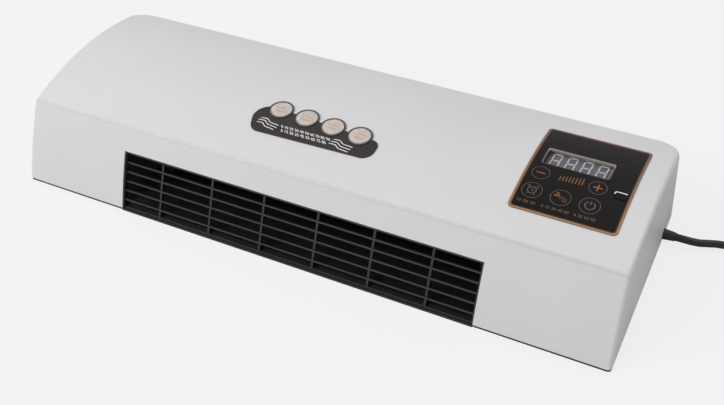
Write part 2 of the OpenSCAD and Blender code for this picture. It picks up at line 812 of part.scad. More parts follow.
module fan_rotor() {
    blade_c = fan_r - 5.5;
    color("#303030") translate([0, fan_y, fan_z]) rotate([90, 0, 90]) {
        for (x = [-0.5, -0.17, 0.17, 0.5]) translate([0, 0, x * (fan_l - 2)]) ring_plate(2);
        translate([0, 0, -fan_l / 2]) linear_extrude(fan_l) for (k = [0 : blade_n - 1])
            rotate(k * 360 / blade_n) translate([blade_c, 0]) blade();
        translate([0, 0, fan_l / 2 - 2]) cylinder(h = 2, r = fan_r - 3);
        translate([0, 0, fan_l / 2 - 2]) cylinder(h = 14, r = 3, $fn = 64);
        translate([0, 0, -fan_l / 2]) difference() {
            cylinder(h = 2, r = fan_r - 3);
            translate([0, 0, -over]) cylinder(h = 6, r = 6.05);
        }
    }
}

module ring_plate(t) {
    translate([0, 0, -t / 2]) difference() {
        cylinder(h = t, r = fan_r);
        translate([0, 0, -over]) cylinder(h = t + 2 * over, r = fan_r - 7);
    }
}

module blade() {
    difference() {
        intersection() {
            translate([0, -6]) circle(8, $fn = 64);
            translate([-4.5, -2]) square([9, 8]);
        }
        translate([0, -6]) circle(7.1, $fn = 64);
    }
}

module fan_hub() {
    color("#202020") translate([-fan_l / 2 - 3, fan_y, fan_z]) rotate([0, 90, 0]) difference() {
        cylinder(h = 9, r = 6);
        translate([0, 0, -over]) cylinder(h = 12, r = shaft_r + skim);
    }
}

module fan_shaft() {
    reach = stack_l / 2 + bridge_gap + bridge_t + 0.5;
    color("silver") translate([motor_x - reach, fan_y, fan_z]) rotate([0, 90, 0])
        cylinder(h = reach - motor_x - fan_l / 2 + 5, r = shaft_r);
}

module bearing_bush() {
    color("goldenrod") translate([duct_x + sheet + 0.5, fan_y, fan_z]) rotate([0, 90, 0]) difference() {
        cylinder(h = 7, r = 5);
        translate([0, 0, -over]) cylinder(h = 10, r = 3.05, $fn = 64);
    }
}

// Bearing seat with its flange on the duct's right end
module bearing_holder() {
    color("#26262a") translate([duct_x + sheet, fan_y, fan_z]) rotate([0, 90, 0]) difference() {
        union() {
            cylinder(h = 2, r = 14);
            cylinder(h = 9, r = 8);
        }
        translate([0, 0, -over]) cylinder(h = 1.5 + over, r = 4.2);
        translate([0, 0, 0.48]) cylinder(h = 7.04, r = 5.02);
        translate([0, 0, -over]) cylinder(h = 2, r = 4.2);
    }
}

// Motor

module motor_stator() {
    color("#8f9296") translate([motor_x - stack_l / 2, fan_y, fan_z]) rotate([90, 0, 90]) difference() {
        linear_extrude(stack_l) difference() {
            translate([-stack_front, -stack_h / 2]) square([stack_front + stack_back, stack_h]);
            circle(armature_r + 0.5);
            translate([-stack_back - coil_window_w, -coil_window_h / 2])
                square([coil_window_w, coil_window_h]);
        }
        for (p = motor_holes()) translate([p[0], p[1], -over])
            cylinder(h = stack_l + 2 * over, r = motor_screw_r + seat, $fn = 40);
    }
}

motor_screw_r = 1.8;
function motor_holes() = [for (y = [-1, 1], z = [-1, 1]) [y * (stack_back - 4), z * (stack_h / 2 - 4.5)]];

// The winding round the outer limb of the laminations
module motor_coil() {
    limb_y = fan_y - stack_front + limb_w / 2;
    pad = 0.2;
    build = coil_window_w / 2;
    color("#b5642a") translate([motor_x, limb_y, fan_z]) difference() {
        cube([stack_l + 12, limb_w + 2 * build, coil_window_h - 4 * pad], center = true);
        cube([stack_l + 2 * pad, limb_w + 2 * pad, coil_window_h], center = true);
    }
}

module motor_armature() {
    color("#6c6f74") translate([motor_x - stack_l / 2, fan_y, fan_z]) rotate([0, 90, 0]) difference() {
        cylinder(h = stack_l, r = armature_r);
        translate([0, 0, -over]) cylinder(h = stack_l + 2 * over, r = shaft_r + skim);
    }
}

// Two end bridges that carry the shaft, with spacers, and two legs on the back plate
module motor_bracket() {
    bridge_x = stack_l / 2 + bridge_gap;
    leg_top = fan_z - stack_h / 2 + 1;
    color("#a3a6aa") {
        for (s = [-1, 1]) translate([motor_x + s * (bridge_x + bridge_t / 2), fan_y, fan_z])
            rotate([90, 0, 90])
            difference() {
                union() {
                    translate([0, 0, -bridge_t / 2]) linear_extrude(bridge_t)
                        rounded(2 * stack_back, stack_h, 5);
                    for (p = motor_holes())
                        translate([p[0], p[1], s > 0 ? -bridge_t / 2 - bridge_gap : -bridge_t / 2])
                            cylinder(h = bridge_t + bridge_gap, r = 3.2, $fn = 40);
                }
                translate([0, 0, -bridge_t]) cylinder(h = 2 * bridge_t, r = shaft_r + 0.05, $fn = 64);
                for (p = motor_holes()) translate([p[0], p[1], -10])
                    cylinder(h = 20, r = motor_screw_r + seat, $fn = 40);
            }
        for (y = [-14, 14]) translate([motor_x + bridge_x, fan_y + y - 4, plate_t + seat])
            cube([bridge_t, 8, leg_top - plate_t - seat]);
    }
}

module motor_screws() {
    grip = stack_l + 2 * (bridge_gap + bridge_t);
    color("silver") translate([motor_x, fan_y, fan_z]) rotate([90, 0, 90]) for (p = motor_holes())
        translate([p[0], p[1], -grip / 2]) {
            cylinder(h = grip + 2, r = motor_screw_r, $fn = 40);
            translate([0, 0, grip]) cylinder(h = 2.2, r = 3, $fn = 40);
        }
}

// Heating element

module heater_tubes() {
    color("silver") for (k = [-1, 0, 1])
        translate([-core_l / 2 - 6, core_y - core_d / 2 + 1, core_z + k * core_step - tube_t / 2])
            cube([core_l + 12, core_d - 2, tube_t]);
}

// Corrugated strips above, below and between the tubes
module heater_fins() {
    h = strip_h - 0.1;
    t = 0.5;
    n = floor(core_l / fin_pitch);
    zig = [for (k = [0 : n]) [(k - n / 2) * fin_pitch, k % 2 == 0 ? -h / 2 : h / 2 - t]];
    back = [for (k = [n : -1 : 0]) zig[k] + [0, t]];
    color("gainsboro") for (k = [-1.5, -0.5, 0.5, 1.5])
        translate([0, core_y + core_d / 2 - 1, core_z + k * core_step]) rotate([90, 0, 0])
            linear_extrude(core_d - 2) polygon(concat(zig, back));
}

// Ceramic end holders, with a socket for each tube
module heater_holders() {
    w = duct_x - core_l / 2 - 1;
    color("#e4e0d6") for (s = [-1, 1]) translate([s * (duct_x - 0.5 - w / 2), core_y, core_z]) difference() {
        translate([-w / 2, -core_d / 2, -core_h / 2]) cube([w, core_d, core_h]);
        for (k = [-1, 0, 1])
            translate([-s * (w / 2 - 3) - 5, -core_d / 2 + 1 - seat, k * core_step - tube_t / 2 - seat])
                cube([10, core_d - 2 + 2 * seat, tube_t + 2 * seat]);
    }
}

module thermostat() {
    color("#3a3a3e") translate([-110, -40, ceiling_z + sheet]) {
        cylinder(h = 3.5, r = 8);
        cylinder(h = 9, r = 5.5);
        for (s = [-1, 1]) translate([s * 3 - 1.5, -0.4, 8]) cube([3, 0.8, 5]);
    }
}

module thermal_fuse() {
    color("#c9b9a6") translate([120, -40, ceiling_z + sheet + 2]) rotate([0, 90, 0]) {
        cylinder(h = 12, r = 2, center = true, $fn = 40);
        cylinder(h = 30, r = 0.6, center = true, $fn = 32);
    }
}

// Points of the leads that end on the power board, at its inner edge
lead_x = power_in + 8;
lead_top = power_z + pcb_t;

module motor_leads() {
    z = ceiling_z + sheet + 1.6;
    start_y = fan_y - stack_front - 2.8;
    color("ivory") tube([[motor_x, start_y, fan_z + coil_window_h / 2 - 0.2], [motor_x, start_y - 1, z - 5],
        [motor_x + 4, start_y - 4, z - 1], [motor_x + 12, -18, z], [motor_x + 42, -20, z], [0, -20, z],
        [duct_x - 6, -20, z], [duct_x + 4, -20, z], [duct_x + 8, -20, z - 5],
        [duct_x + 9, -20, lead_top + 18], [duct_x + 11, -20, lead_top + 7],
        [lead_x - 6, -20, lead_top + 2.2], [lead_x, -20, lead_top + 1.2]], 1.2, 8);
}

module heater_leads() {
    color("ivory") for (y = [-1.6, 1.6]) translate([0, core_y + y, 0])
        tube([[duct_x - core_gap, 0, core_z], [duct_x + 5, 0, core_z], [duct_x + 9, 0, core_z - 3],
            [duct_x + 11, 0, lead_top + 7], [lead_x - 6, 0, lead_top + 2.2],
            [lead_x, 0, lead_top + 1.1]], 1.1, 8);
}

// Supply cord

relief_neck_r = 4.6;
relief_tip_r = 3.7;

module strain_relief() {
    color("#151515") translate([0, exit_y, exit_z]) rotate([0, 90, 0]) {
        translate([0, 0, relief_in]) cylinder(h = half_l - relief_in + 0.5, r = relief_neck_r - fit / 2);
        translate([0, 0, half_l + 0.5])
            cylinder(h = relief_out - half_l - 0.5, r1 = relief_neck_r, r2 = relief_tip_r);
    }
    color("#151515") intersection() {
        translate([half_l - wall - 2.2, exit_y, exit_z]) rotate([0, 90, 0])
            cylinder(h = 1.6, r = relief_neck_r + 1.4);
        above(plate_t + seat);
    }
}

module cord_clamp() {
    color("#202022") translate([clamp_x, exit_y, exit_z]) difference() {
        translate([-4, -clamp_hole - 3.5, 0.1]) cube([8, 2 * clamp_hole + 7, 5.4]);
        rotate([0, 90, 0]) cylinder(h = 20, r = cord_r + 0.1, center = true);
        for (y = [-1, 1]) translate([0, y * clamp_hole, -over]) cylinder(h = 10, r = 1.3, $fn = 40);
    }
}

module cord_clamp_screws() {
    color("silver") for (y = [-1, 1]) translate([clamp_x, exit_y + y * clamp_hole, exit_z + 5.5]) {
        cylinder(h = 1.8, r = 2.4, $fn = 40);
        translate([0, 0, -9]) cylinder(h = 9, r = 1, $fn = 40);
    }
}

// The sheathed end of the cord under the clamp, and its two cores up to the terminals
module supply_lead() {
    end_x = clamp_x - 6;
    color("#151515") translate([end_x, exit_y, exit_z]) rotate([0, 90, 0])
        cylinder(h = relief_in - end_x, r = cord_r);
    color("ivory") for (k = [0, 1])
        tube([[end_x + 1, exit_y - 1.4 + 2.8 * k, exit_z], [end_x - 3, exit_y - 1.4 + 2.8 * k, exit_z + 0.5],
            [end_x - 7 - 4 * k, exit_y - 2 + k, lead_top],
            [power_x + 20.4 - 6.4 * k, exit_y - 6, lead_top + 4],
            [power_x + 20.4 - 6.4 * k, exit_y - 12, lead_top + 4],
            [power_x + 20.4 - 6.4 * k, power_y + 42, lead_top + 4]], 1.1, 8);
}

module cord_run() {
    color("#151515") tube(cord_points, cord_r, 10);
}

// The coil spirals in along the floor, climbs a layer where the spiral reverses, and spirals out on top
function coil_radius(a) = coil_r + coil_pitch * abs(a - coil_deg / 2) / 360;
function coil_height(a) = lay_z + coil_rise * (1 - cos(max(0, min(180, a - coil_deg / 2 + 90)))) / 2;
function coil_point(a) =
    [coil_c[0] + coil_radius(a) * sin(a), coil_c[1] - coil_radius(a) * cos(a), coil_height(a)];

coil_end = coil_point(coil_deg);
coil_points = concat([coil_point(0), coil_point(0) + [cord_d, 0, 0]],
    [for (a = [coil_step : coil_step : coil_deg - coil_step]) coil_point(a)],
    [coil_end, coil_end + [cord_d, 0, 0], [tail_x, coil_end[1], coil_end[2]]]);

// Least gap of the coil to itself, between points at least a third of a turn apart
function least_gap(p, apart) = min([for (j = [0 : len(p) - 1 - apart], k = [j + apart : len(p) - 1])
    norm(p[j] - p[k])]) - cord_d;

module cord_coil() {
    echo(coil_gap = least_gap(coil_points, 8));
    color("#151515") tube(coil_points, cord_r, 6);
}

function unit(v) = v / norm(v);
function tangent(p, k) = unit(k == 0 ? p[1] - p[0]
    : k == len(p) - 1 ? p[k] - p[k - 1] : unit(p[k + 1] - p[k]) + unit(p[k] - p[k - 1]));

// A round tube through the points, one ring of n corners at each
module tube(p, r, n) {
    rings = [for (k = [0 : len(p) - 1]) let (t = tangent(p, k), side = unit(cross([0, 0, 1], t)),
        up = cross(t, side))
        [for (j = [0 : n - 1]) p[k] + r * (cos(j * 360 / n) * side + sin(j * 360 / n) * up)]];
    points = [for (ring = rings, q = ring) q];
    last = (len(p) - 1) * n;
    faces = concat([[for (j = [n - 1 : -1 : 0]) j]], [[for (j = [0 : n - 1]) last + j]],
        [for (k = [0 : len(p) - 2], j = [0 : n - 1])
            [k * n + j, k * n + (j + 1) % n, (k + 1) * n + (j + 1) % n]],
        [for (k = [0 : len(p) - 2], j = [0 : n - 1])
            [k * n + j, (k + 1) * n + (j + 1) % n, (k + 1) * n + j]]);
    polyhedron(points = points, faces = [for (f = faces) [for (j = [len(f) - 1 : -1 : 0]) f[j]]]);
}

// A band round the coil's turns on the far side
module cord_tie() {
    inner = coil_radius(180 + coil_deg / 2) - cord_r - 0.8;
    outer = coil_radius(180) + cord_r + 0.8;
    top = lay_z + coil_rise + cord_r + 0.3;
    color("#101010") translate([coil_c[0] + 4, coil_c[1], 0])
        rotate([90, 0, -90]) linear_extrude(8) difference() {
        translate([-outer - tie_t, 0]) square([outer - inner + 2 * tie_t, top + tie_t]);
        translate([-outer, tie_t]) square([outer - inner, top - tie_t]);
    }
}

plug_r = 18.5;
plug_h = 20;
plug_c = [tail_x + 13 + plug_r, coil_end[1]];

module plug_body() {
    color("#151515") {
        translate([plug_c[0], plug_c[1], 0]) rotate_extrude() {
            square([plug_r - 2, plug_h]);
            translate([0, 2]) square([plug_r, plug_h - 4]);
            for (z = [2, plug_h - 2]) translate([plug_r - 2, z]) circle(2, $fn = 40);
        }
        translate([tail_x, plug_c[1], coil_end[2]]) rotate([0, 90, 0]) cylinder(h = 16, r1 = 3.9, r2 = 5);
    }
}

module plug_pins() {
    color("silver") for (y = [-1, 1]) translate([plug_c[0], plug_c[1] + y * pin_span / 2, plug_h])
        cylinder(h = pin_l, r = pin_r);
}

front_cover();
back_plate();
outlet_grille();
intake_grille();
badge_plate();
badge_discs();
panel_overlay();
display_window();
led_display();
key(keys[0]);  // key_minus
key(keys[1]);  // key_plus
key(keys[2]);  // key_timer
key(keys[3]);  // key_mode
key(keys[4]);  // key_power
tact_switches();
control_board();
board_screws();
ir_lens();
ir_receiver();
buzzer();
power_board();
power_board_screws();
relays();
film_capacitor();
terminal_block();
ribbon_cable();
duct_floor();
duct_ceiling();
duct_end(-1);  // duct_end_left
duct_end(1);  // duct_end_right
fan_rotor();
fan_hub();
fan_shaft();
bearing_bush();
bearing_holder();
motor_stator();
motor_coil();
motor_armature();
motor_bracket();
motor_screws();
heater_tubes();
heater_fins();
heater_holders();
thermostat();
thermal_fuse();
motor_leads();
heater_leads();
cover_screws();
cord_clamp();
cord_clamp_screws();
supply_lead();
strain_relief();
cord_run();
cord_coil();
cord_tie();
plug_body();
plug_pins();
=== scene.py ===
"""A wall-mounted fan heater lying on its back, dressed for a studio picture.

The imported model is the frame. Its shapes stay and get real finishes. The prints and foils of the
panel, the display, the badge's waves and pearl discs and the cord are modelled here.
"""
import math

import bpy
from mathutils import Matrix, Vector


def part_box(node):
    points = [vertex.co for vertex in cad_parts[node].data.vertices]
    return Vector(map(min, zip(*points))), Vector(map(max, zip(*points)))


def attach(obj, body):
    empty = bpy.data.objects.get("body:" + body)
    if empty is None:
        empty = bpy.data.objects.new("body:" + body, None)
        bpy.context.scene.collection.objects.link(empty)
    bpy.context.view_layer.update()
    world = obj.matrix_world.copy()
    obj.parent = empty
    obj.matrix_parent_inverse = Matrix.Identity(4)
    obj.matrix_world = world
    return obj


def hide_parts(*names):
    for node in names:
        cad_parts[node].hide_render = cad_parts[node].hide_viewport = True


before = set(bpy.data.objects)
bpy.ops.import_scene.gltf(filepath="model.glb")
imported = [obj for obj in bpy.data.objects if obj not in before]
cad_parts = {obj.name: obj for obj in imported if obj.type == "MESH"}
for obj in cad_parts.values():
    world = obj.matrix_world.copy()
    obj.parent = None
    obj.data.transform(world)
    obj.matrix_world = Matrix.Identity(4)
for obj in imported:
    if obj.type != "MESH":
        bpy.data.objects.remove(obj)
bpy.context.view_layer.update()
MM = 0.001

# The crowned face is part of a cylinder about an axis along X. In mm, as is the crease's Y and Z.
CROWN_R = 268.0
CROWN_Y = 4.2
CROWN_Z = 79.5 - CROWN_R
CREASE = (-62.2, 71.1)


def crown_z(y, lift=0.0):
    """Height of the crowned face at y, raised by lift, in mm."""
    return CROWN_Z + math.sqrt((CROWN_R + lift) ** 2 - (y - CROWN_Y) ** 2)


# Camera

# In metres
CAMERA_PLACE = (0.35189, -0.55425, 0.63706)


def place_camera():
    """The photographer's view: from in front of the panel's end, looking down along the body."""
    bpy.ops.object.camera_add()
    camera = bpy.context.object
    camera.name = "studio_camera"
    camera.data.sensor_width = 36
    camera.data.lens = 50.11
    camera.data.clip_start = 0.01
    camera.data.clip_end = 50
    right = Vector((0.89285723, 0.44408954, -0.07476932))
    down = Vector((0.26875829, -0.65867377, -0.70279289))
    forward = Vector((-0.36135156, 0.60739884, -0.70745438))
    turn = Matrix((right, -down, -forward)).transposed()
    camera.matrix_world = Matrix.Translation(CAMERA_PLACE) @ turn.to_4x4()
    bpy.context.scene.camera = camera


# Cord

# All in mm. The route leads from the strain relief down to the floor and to the coil.
CORD_D = 6.4
CORD_ROUTE = [(290, 49, 7.2), (297, 49, 7.2), (303, 49.8, 6.4), (309, 51.8, 5), (315, 54.6, 4.2),
              (322, 57, 4), (332, 58.8, 4), (344, 59.8, 4), (356, 60, 4), (368, 60, 4), (378, 60, 4)]
COIL_R = 26.5
COIL_PITCH = 7.0
COIL_TURNS = 6
COIL_CENTRE = (384, 107.5)
# Heights of the coil's two layers, and where the cord passes below and then enters the plug
LAYERS = (4.0, 10.9)
PASSING = (390.4, 60)
PLUG = (406, 60)


def coil_point(turned):
    """The coil's place after so many degrees: inwards on the floor, up a layer, and out again."""
    half = 180 * COIL_TURNS
    radius = COIL_R + COIL_PITCH * abs(turned - half) / 360
    climb = max(0, min(180, turned - half + 90))
    height = LAYERS[0] + (LAYERS[1] - LAYERS[0]) * (1 - math.cos(math.radians(climb))) / 2
    angle = math.radians(turned)
    return (COIL_CENTRE[0] + radius * math.sin(angle), COIL_CENTRE[1] - radius * math.cos(angle), height)


def lay_cord():
    """The supply cord: out of the strain relief, down to the floor, into its coil and on to the plug."""
    end = 360 * COIL_TURNS
    route = list(CORD_ROUTE)
    route += [coil_point(0), (*PASSING, LAYERS[0])]
    route += [coil_point(turned) for turned in range(15, end, 15)]
    route += [coil_point(end), (*PASSING, LAYERS[1]), (*PLUG, LAYERS[1])]
    cord = tube("supply_cord", route, CORD_D / 2, 5)
    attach(cord, "heater")
    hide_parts("cord_run", "cord_coil")
    return cord


# Small tools for modelling by hand. Places and sizes are in mm. Flat shapes are made above
# the body, at FLAT_Z in metres, and then dropped onto the crowned face.

FLAT_Z = 0.1
SMOOTH_ANGLE = math.radians(60)
ROUND_SMOOTH_ANGLE = math.radians(40)


def deselect():
    if bpy.context.mode != "OBJECT":
        bpy.ops.object.mode_set(mode="OBJECT")
    bpy.ops.object.select_all(action="DESELECT")


def pick(piece):
    deselect()
    piece.select_set(True)
    bpy.context.view_layer.objects.active = piece


def edit_mesh(select="SELECT"):
    """Edit mode, with all of the active object's mesh selected or, with DESELECT, none of it."""
    bpy.ops.object.mode_set(mode="EDIT")
    bpy.ops.mesh.select_all(action=select)


def end_edit():
    bpy.ops.object.mode_set(mode="OBJECT")


def select_faces(piece, wanted):
    """Selects just the faces that wanted is true for, and stays out of edit mode."""
    edit_mesh("DESELECT")
    end_edit()
    for face in piece.data.polygons:
        face.select = wanted(face)


def named(name):
    """Names the object just made, and puts its place into its mesh."""
    piece = bpy.context.object
    piece.name = name
    piece.data.name = name
    pick(piece)
    bpy.ops.object.transform_apply(location=True, rotation=True, scale=True)
    return piece


def join(pieces, name):
    """One object of several."""
    deselect()
    for piece in pieces:
        piece.select_set(True)
    bpy.context.view_layer.objects.active = pieces[0]
    bpy.ops.object.join()
    return named(name)


def add_modifier(piece, kind, **settings):
    """A modifier with its settings, applied."""
    pick(piece)
    modifier = piece.modifiers.new(kind.lower(), kind)
    for setting, value in settings.items():
        setattr(modifier, setting, value)
    bpy.ops.object.modifier_apply(modifier=modifier.name)


def tube(name, places, radius, rounding):
    """A round tube along a row of places, all in mm, as a mesh."""
    line = bpy.data.curves.new(name, "CURVE")
    line.dimensions = "3D"
    line.bevel_depth = radius * MM
    line.bevel_resolution = rounding
    line.use_fill_caps = True
    spline = line.splines.new("POLY")
    spline.points.add(len(places) - 1)
    for point, place in zip(spline.points, places):
        point.co = (*[v * MM for v in place], 1)
    spline.use_smooth = True
    piece = bpy.data.objects.new(name, line)
    bpy.context.scene.collection.objects.link(piece)
    pick(piece)
    bpy.ops.object.convert(target="MESH")
    piece = named(name)
    bpy.ops.object.shade_smooth_by_angle(angle=SMOOTH_ANGLE)
    return piece


def disc(x, y, radius, corners=64):
    deselect()
    bpy.ops.mesh.primitive_circle_add(vertices=corners, radius=radius * MM, fill_type="NGON",
                                      location=(x * MM, y * MM, FLAT_Z))
    return named("disc")


def ring(x, y, outer, inner, corners=64):
    """A flat ring, inset from a disc."""
    piece = disc(x, y, outer, corners)
    edit_mesh()
    bpy.ops.mesh.inset(thickness=(outer - inner) * MM)
    bpy.ops.mesh.delete(type="FACE")
    end_edit()
    return piece


def stroke(x, y, width, height, turned=0.0, corner=0.0):
    """A flat bar, turned about its middle, with its corners rounded."""
    deselect()
    bpy.ops.mesh.primitive_plane_add(size=1, location=(x * MM, y * MM, FLAT_Z),
                                     rotation=(0, 0, math.radians(turned)))
    bpy.context.object.scale = (width * MM, height * MM, 1)
    piece = named("stroke")
    if corner:
        edit_mesh()
        bpy.ops.mesh.bevel(offset=corner * MM, segments=8, affect="VERTICES")
        end_edit()
    return piece


def slice_along(piece, low, high, step):
    """Cuts across Y, so that a long flat shape can follow the crowned face."""
    pick(piece)
    bpy.ops.object.mode_set(mode="EDIT")
    y = low + step
    while y < high:
        bpy.ops.mesh.select_all(action="SELECT")
        bpy.ops.mesh.bisect(plane_co=(0, y * MM, 0), plane_no=(0, 1, 0))
        y += step
    end_edit()


def frame_between(outer, inner):
    """A flat frame between two rounded bars, each given as x, y, width, height and corner."""
    bars = [stroke(*place, corner=corner) for *place, corner in (outer, inner)]
    piece = join(bars, "frame_between")
    edit_mesh()
    bpy.ops.mesh.delete(type="ONLY_FACE")
    bpy.ops.mesh.select_all(action="SELECT")
    bpy.ops.mesh.bridge_edge_loops()
    end_edit()
    face_up(piece)
    return piece


def face_up(piece):
    """Turns a flat shape's faces upwards where they point down."""
    if piece.data.polygons[0].normal.z < 0:
        pick(piece)
        edit_mesh()
        bpy.ops.mesh.flip_normals()
        end_edit()


def numbers(words, left, right, low, high, slant=0.0, bold=0.0):
    """A row of plain numbers as a flat mesh that fills the given box, leaning left by slant at its top."""
    deselect()
    bpy.ops.object.text_add(location=(0, 0, FLAT_Z))
    line = bpy.context.object
    line.data.body = words
    line.data.size = 0.004
    line.data.resolution_u = 3
    line.data.offset = bold * MM
    bpy.ops.object.convert(target="MESH")
    piece = named("numbers")
    spots = [v.co.copy() for v in piece.data.vertices]
    x0, x1 = min(c.x for c in spots), max(c.x for c in spots)
    y0, y1 = min(c.y for c in spots), max(c.y for c in spots)
    for vertex in piece.data.vertices:
        up = (vertex.co.y - y0) / (y1 - y0)
        vertex.co.x = (left + (vertex.co.x - x0) / (x1 - x0) * (right - left) - slant * up) * MM
        vertex.co.y = (low + up * (high - low)) * MM
    face_up(piece)
    return piece


def crown_guide(lift):
    """A fine cylinder in the place of the crowned face, raised by lift."""
    deselect()
    bpy.ops.mesh.primitive_cylinder_add(vertices=1536, radius=(CROWN_R + lift) * MM, depth=0.6,
                                        location=(0, CROWN_Y * MM, CROWN_Z * MM),
                                        rotation=(0, math.pi / 2, 0))
    return named("crown_guide")


def lay_on_crown(piece, lift, thick):
    """Drops a flat shape onto the crowned face, raised by lift, and gives it thickness inwards."""
    guide = crown_guide(lift)
    add_modifier(piece, "SHRINKWRAP", target=guide, wrap_method="PROJECT", use_project_z=True,
                 use_positive_direction=False, use_negative_direction=True)
    bpy.data.objects.remove(guide)
    add_modifier(piece, "SOLIDIFY", thickness=thick * MM, offset=-1)


def finish_piece(piece, body, finish):
    piece.data.materials.clear()
    piece.data.materials.append(finish)
    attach(piece, body)


# Finishes

# Sockets of a Mix node that is set to colours
MIX_SHARE = 0
MIX_LOW = 6
MIX_HIGH = 7
MIX_RESULT = 2
# A noise seldom leaves this range
NOISE_LOW = 0.3
NOISE_HIGH = 0.7


def linear(code):
    """An sRGB hex value as linear red, green, blue and alpha."""
    channels = [int(code[k:k + 2], 16) / 255 for k in (1, 3, 5)]
    return [c / 12.92 if c <= 0.04045 else ((c + 0.055) / 1.055) ** 2.4 for c in channels] + [1.0]


def add_node(material, kind, values=None, links=None, **settings):
    """One shader node of a material or of the world, with its settings, its fixed values and its links."""
    node = material.node_tree.nodes.new(kind)
    for setting, value in settings.items():
        setattr(node, setting, value)
    for socket, value in (values or {}).items():
        node.inputs[socket].default_value = value
    for socket, source in (links or {}).items():
        material.node_tree.links.new(source, node.inputs[socket])
    return node


def start_finish(name):
    """A new material with its shader, and the Object coordinates that its patterns use."""
    material = bpy.data.materials.new(name)
    material.use_nodes = True
    shader = material.node_tree.nodes["Principled BSDF"]
    place = add_node(material, "ShaderNodeTexCoord").outputs["Object"]
    return material, shader, place


def join_socket(material, source, shader, socket):
    material.node_tree.links.new(source, shader.inputs[socket])


def noise(material, place, size_mm, detail=2.0, stretch=(1, 1, 1)):
    """Noise whose grains are about size_mm across, longer where stretch is small."""
    scaled = add_node(material, "ShaderNodeMapping", {"Scale": stretch}, {"Vector": place})
    return add_node(material, "ShaderNodeTexNoise", {"Scale": 1000.0 / size_mm, "Detail": detail},
                    {"Vector": scaled.outputs["Vector"]}).outputs["Fac"]


def ramp(material, value, start, end, low=0.0, high=1.0):
    """From low to high as value goes from start to end."""
    return add_node(material, "ShaderNodeMapRange", {"From Min": start, "From Max": end, "To Min": low,
                    "To Max": high}, {"Value": value}).outputs["Result"]


def both(material, a, b):
    return add_node(material, "ShaderNodeMath", None, {0: a, 1: b}, operation="MULTIPLY").outputs[0]


def mix_colours(material, share, low, high):
    """From low to high as share goes from 0 to 1. Each is a hex value or another node's colour."""
    values, links = {}, {MIX_SHARE: share}
    for socket, colour in ((MIX_LOW, low), (MIX_HIGH, high)):
        if isinstance(colour, str):
            values[socket] = linear(colour)
        else:
            links[socket] = colour
    return add_node(material, "ShaderNodeMix", values, links, data_type="RGBA").outputs[MIX_RESULT]


def blend_colours(material, factor, low, high, start=NOISE_LOW, end=NOISE_HIGH):
    """Colour from low to high as factor goes from start to end."""
    return mix_colours(material, ramp(material, factor, start, end), low, high)


def vary(material, factor, low, high):
    """From low to high over the range that a noise mostly keeps to."""
    return ramp(material, factor, NOISE_LOW, NOISE_HIGH, low, high)


def bump(material, height, depth_mm):
    return add_node(material, "ShaderNodeBump", {"Strength": 1.0, "Distance": depth_mm * MM},
                    {"Height": height}).outputs["Normal"]


def moulded(name, colour, shade, rough, grain_mm, depth_mm, drift_mm=60, ior=1.5):
    """Injection-moulded plastic: an eroded grain, and a slow drift of tone where the melt flowed."""
    material, shader, place = start_finish(name)
    drift = noise(material, place, drift_mm)
    grain = noise(material, place, grain_mm, 3.0)
    join_socket(material, blend_colours(material, drift, shade, colour), shader, "Base Color")
    join_socket(material, vary(material, grain, rough - 0.05, rough + 0.05), shader, "Roughness")
    join_socket(material, bump(material, grain, depth_mm), shader, "Normal")
    shader.inputs["IOR"].default_value = ior
    return material


def paint_light_along(material, way, start_mm, end_mm, low, high):
    """Paints light or shade into a finish: scales its colour from low to high between two places along the
    direction way.
    """
    shader = material.node_tree.nodes["Principled BSDF"]
    place = add_node(material, "ShaderNodeTexCoord").outputs["Object"]
    along = add_node(material, "ShaderNodeVectorMath", {1: way}, {0: place}, operation="DOT_PRODUCT")
    share = ramp(material, along.outputs["Value"], start_mm * MM, end_mm * MM, low, high)
    colour = shader.inputs["Base Color"].links[0].from_socket
    tinted = add_node(material, "ShaderNodeVectorMath", None, {0: colour, "Scale": share},
                      operation="SCALE")
    join_socket(material, tinted.outputs["Vector"], shader, "Base Color")
    return material


def worked_metal(name, colour, shade, rough, grain_mm, depth_mm, stretch=(1, 1, 1)):
    """Bare or plated metal: a grain drawn out along the way it was rolled, turned or drawn."""
    material, shader, place = start_finish(name)
    grain = noise(material, place, grain_mm, 3.0, stretch)
    cloud = noise(material, place, 18)
    join_socket(material, blend_colours(material, cloud, shade, colour), shader, "Base Color")
    join_socket(material, vary(material, grain, rough - 0.08, rough + 0.08), shader, "Roughness")
    join_socket(material, bump(material, grain, depth_mm), shader, "Normal")
    shader.inputs["Metallic"].default_value = 1.0
    return material


def banded(name, colour, groove, pitch_mm, along, rough, metallic, depth_mm):
    """Stacked sheets, wound wire or laid cores: parallel bands at a real pitch along one axis."""
    material, shader, place = start_finish(name)
    bands = add_node(material, "ShaderNodeTexWave", {"Scale": 1000.0 / pitch_mm / 20 * 2 * math.pi,
                     "Distortion": 0.3, "Detail": 1.0}, {"Vector": place}, bands_direction=along)
    height = bands.outputs["Fac"]
    cloud = noise(material, place, 9)
    low = blend_colours(material, cloud, groove, colour, 0.0, 1.0)
    join_socket(material, mix_colours(material, height, low, colour), shader, "Base Color")
    join_socket(material, vary(material, cloud, rough - 0.05, rough + 0.05), shader, "Roughness")
    join_socket(material, bump(material, height, depth_mm), shader, "Normal")
    shader.inputs["Metallic"].default_value = metallic
    return material


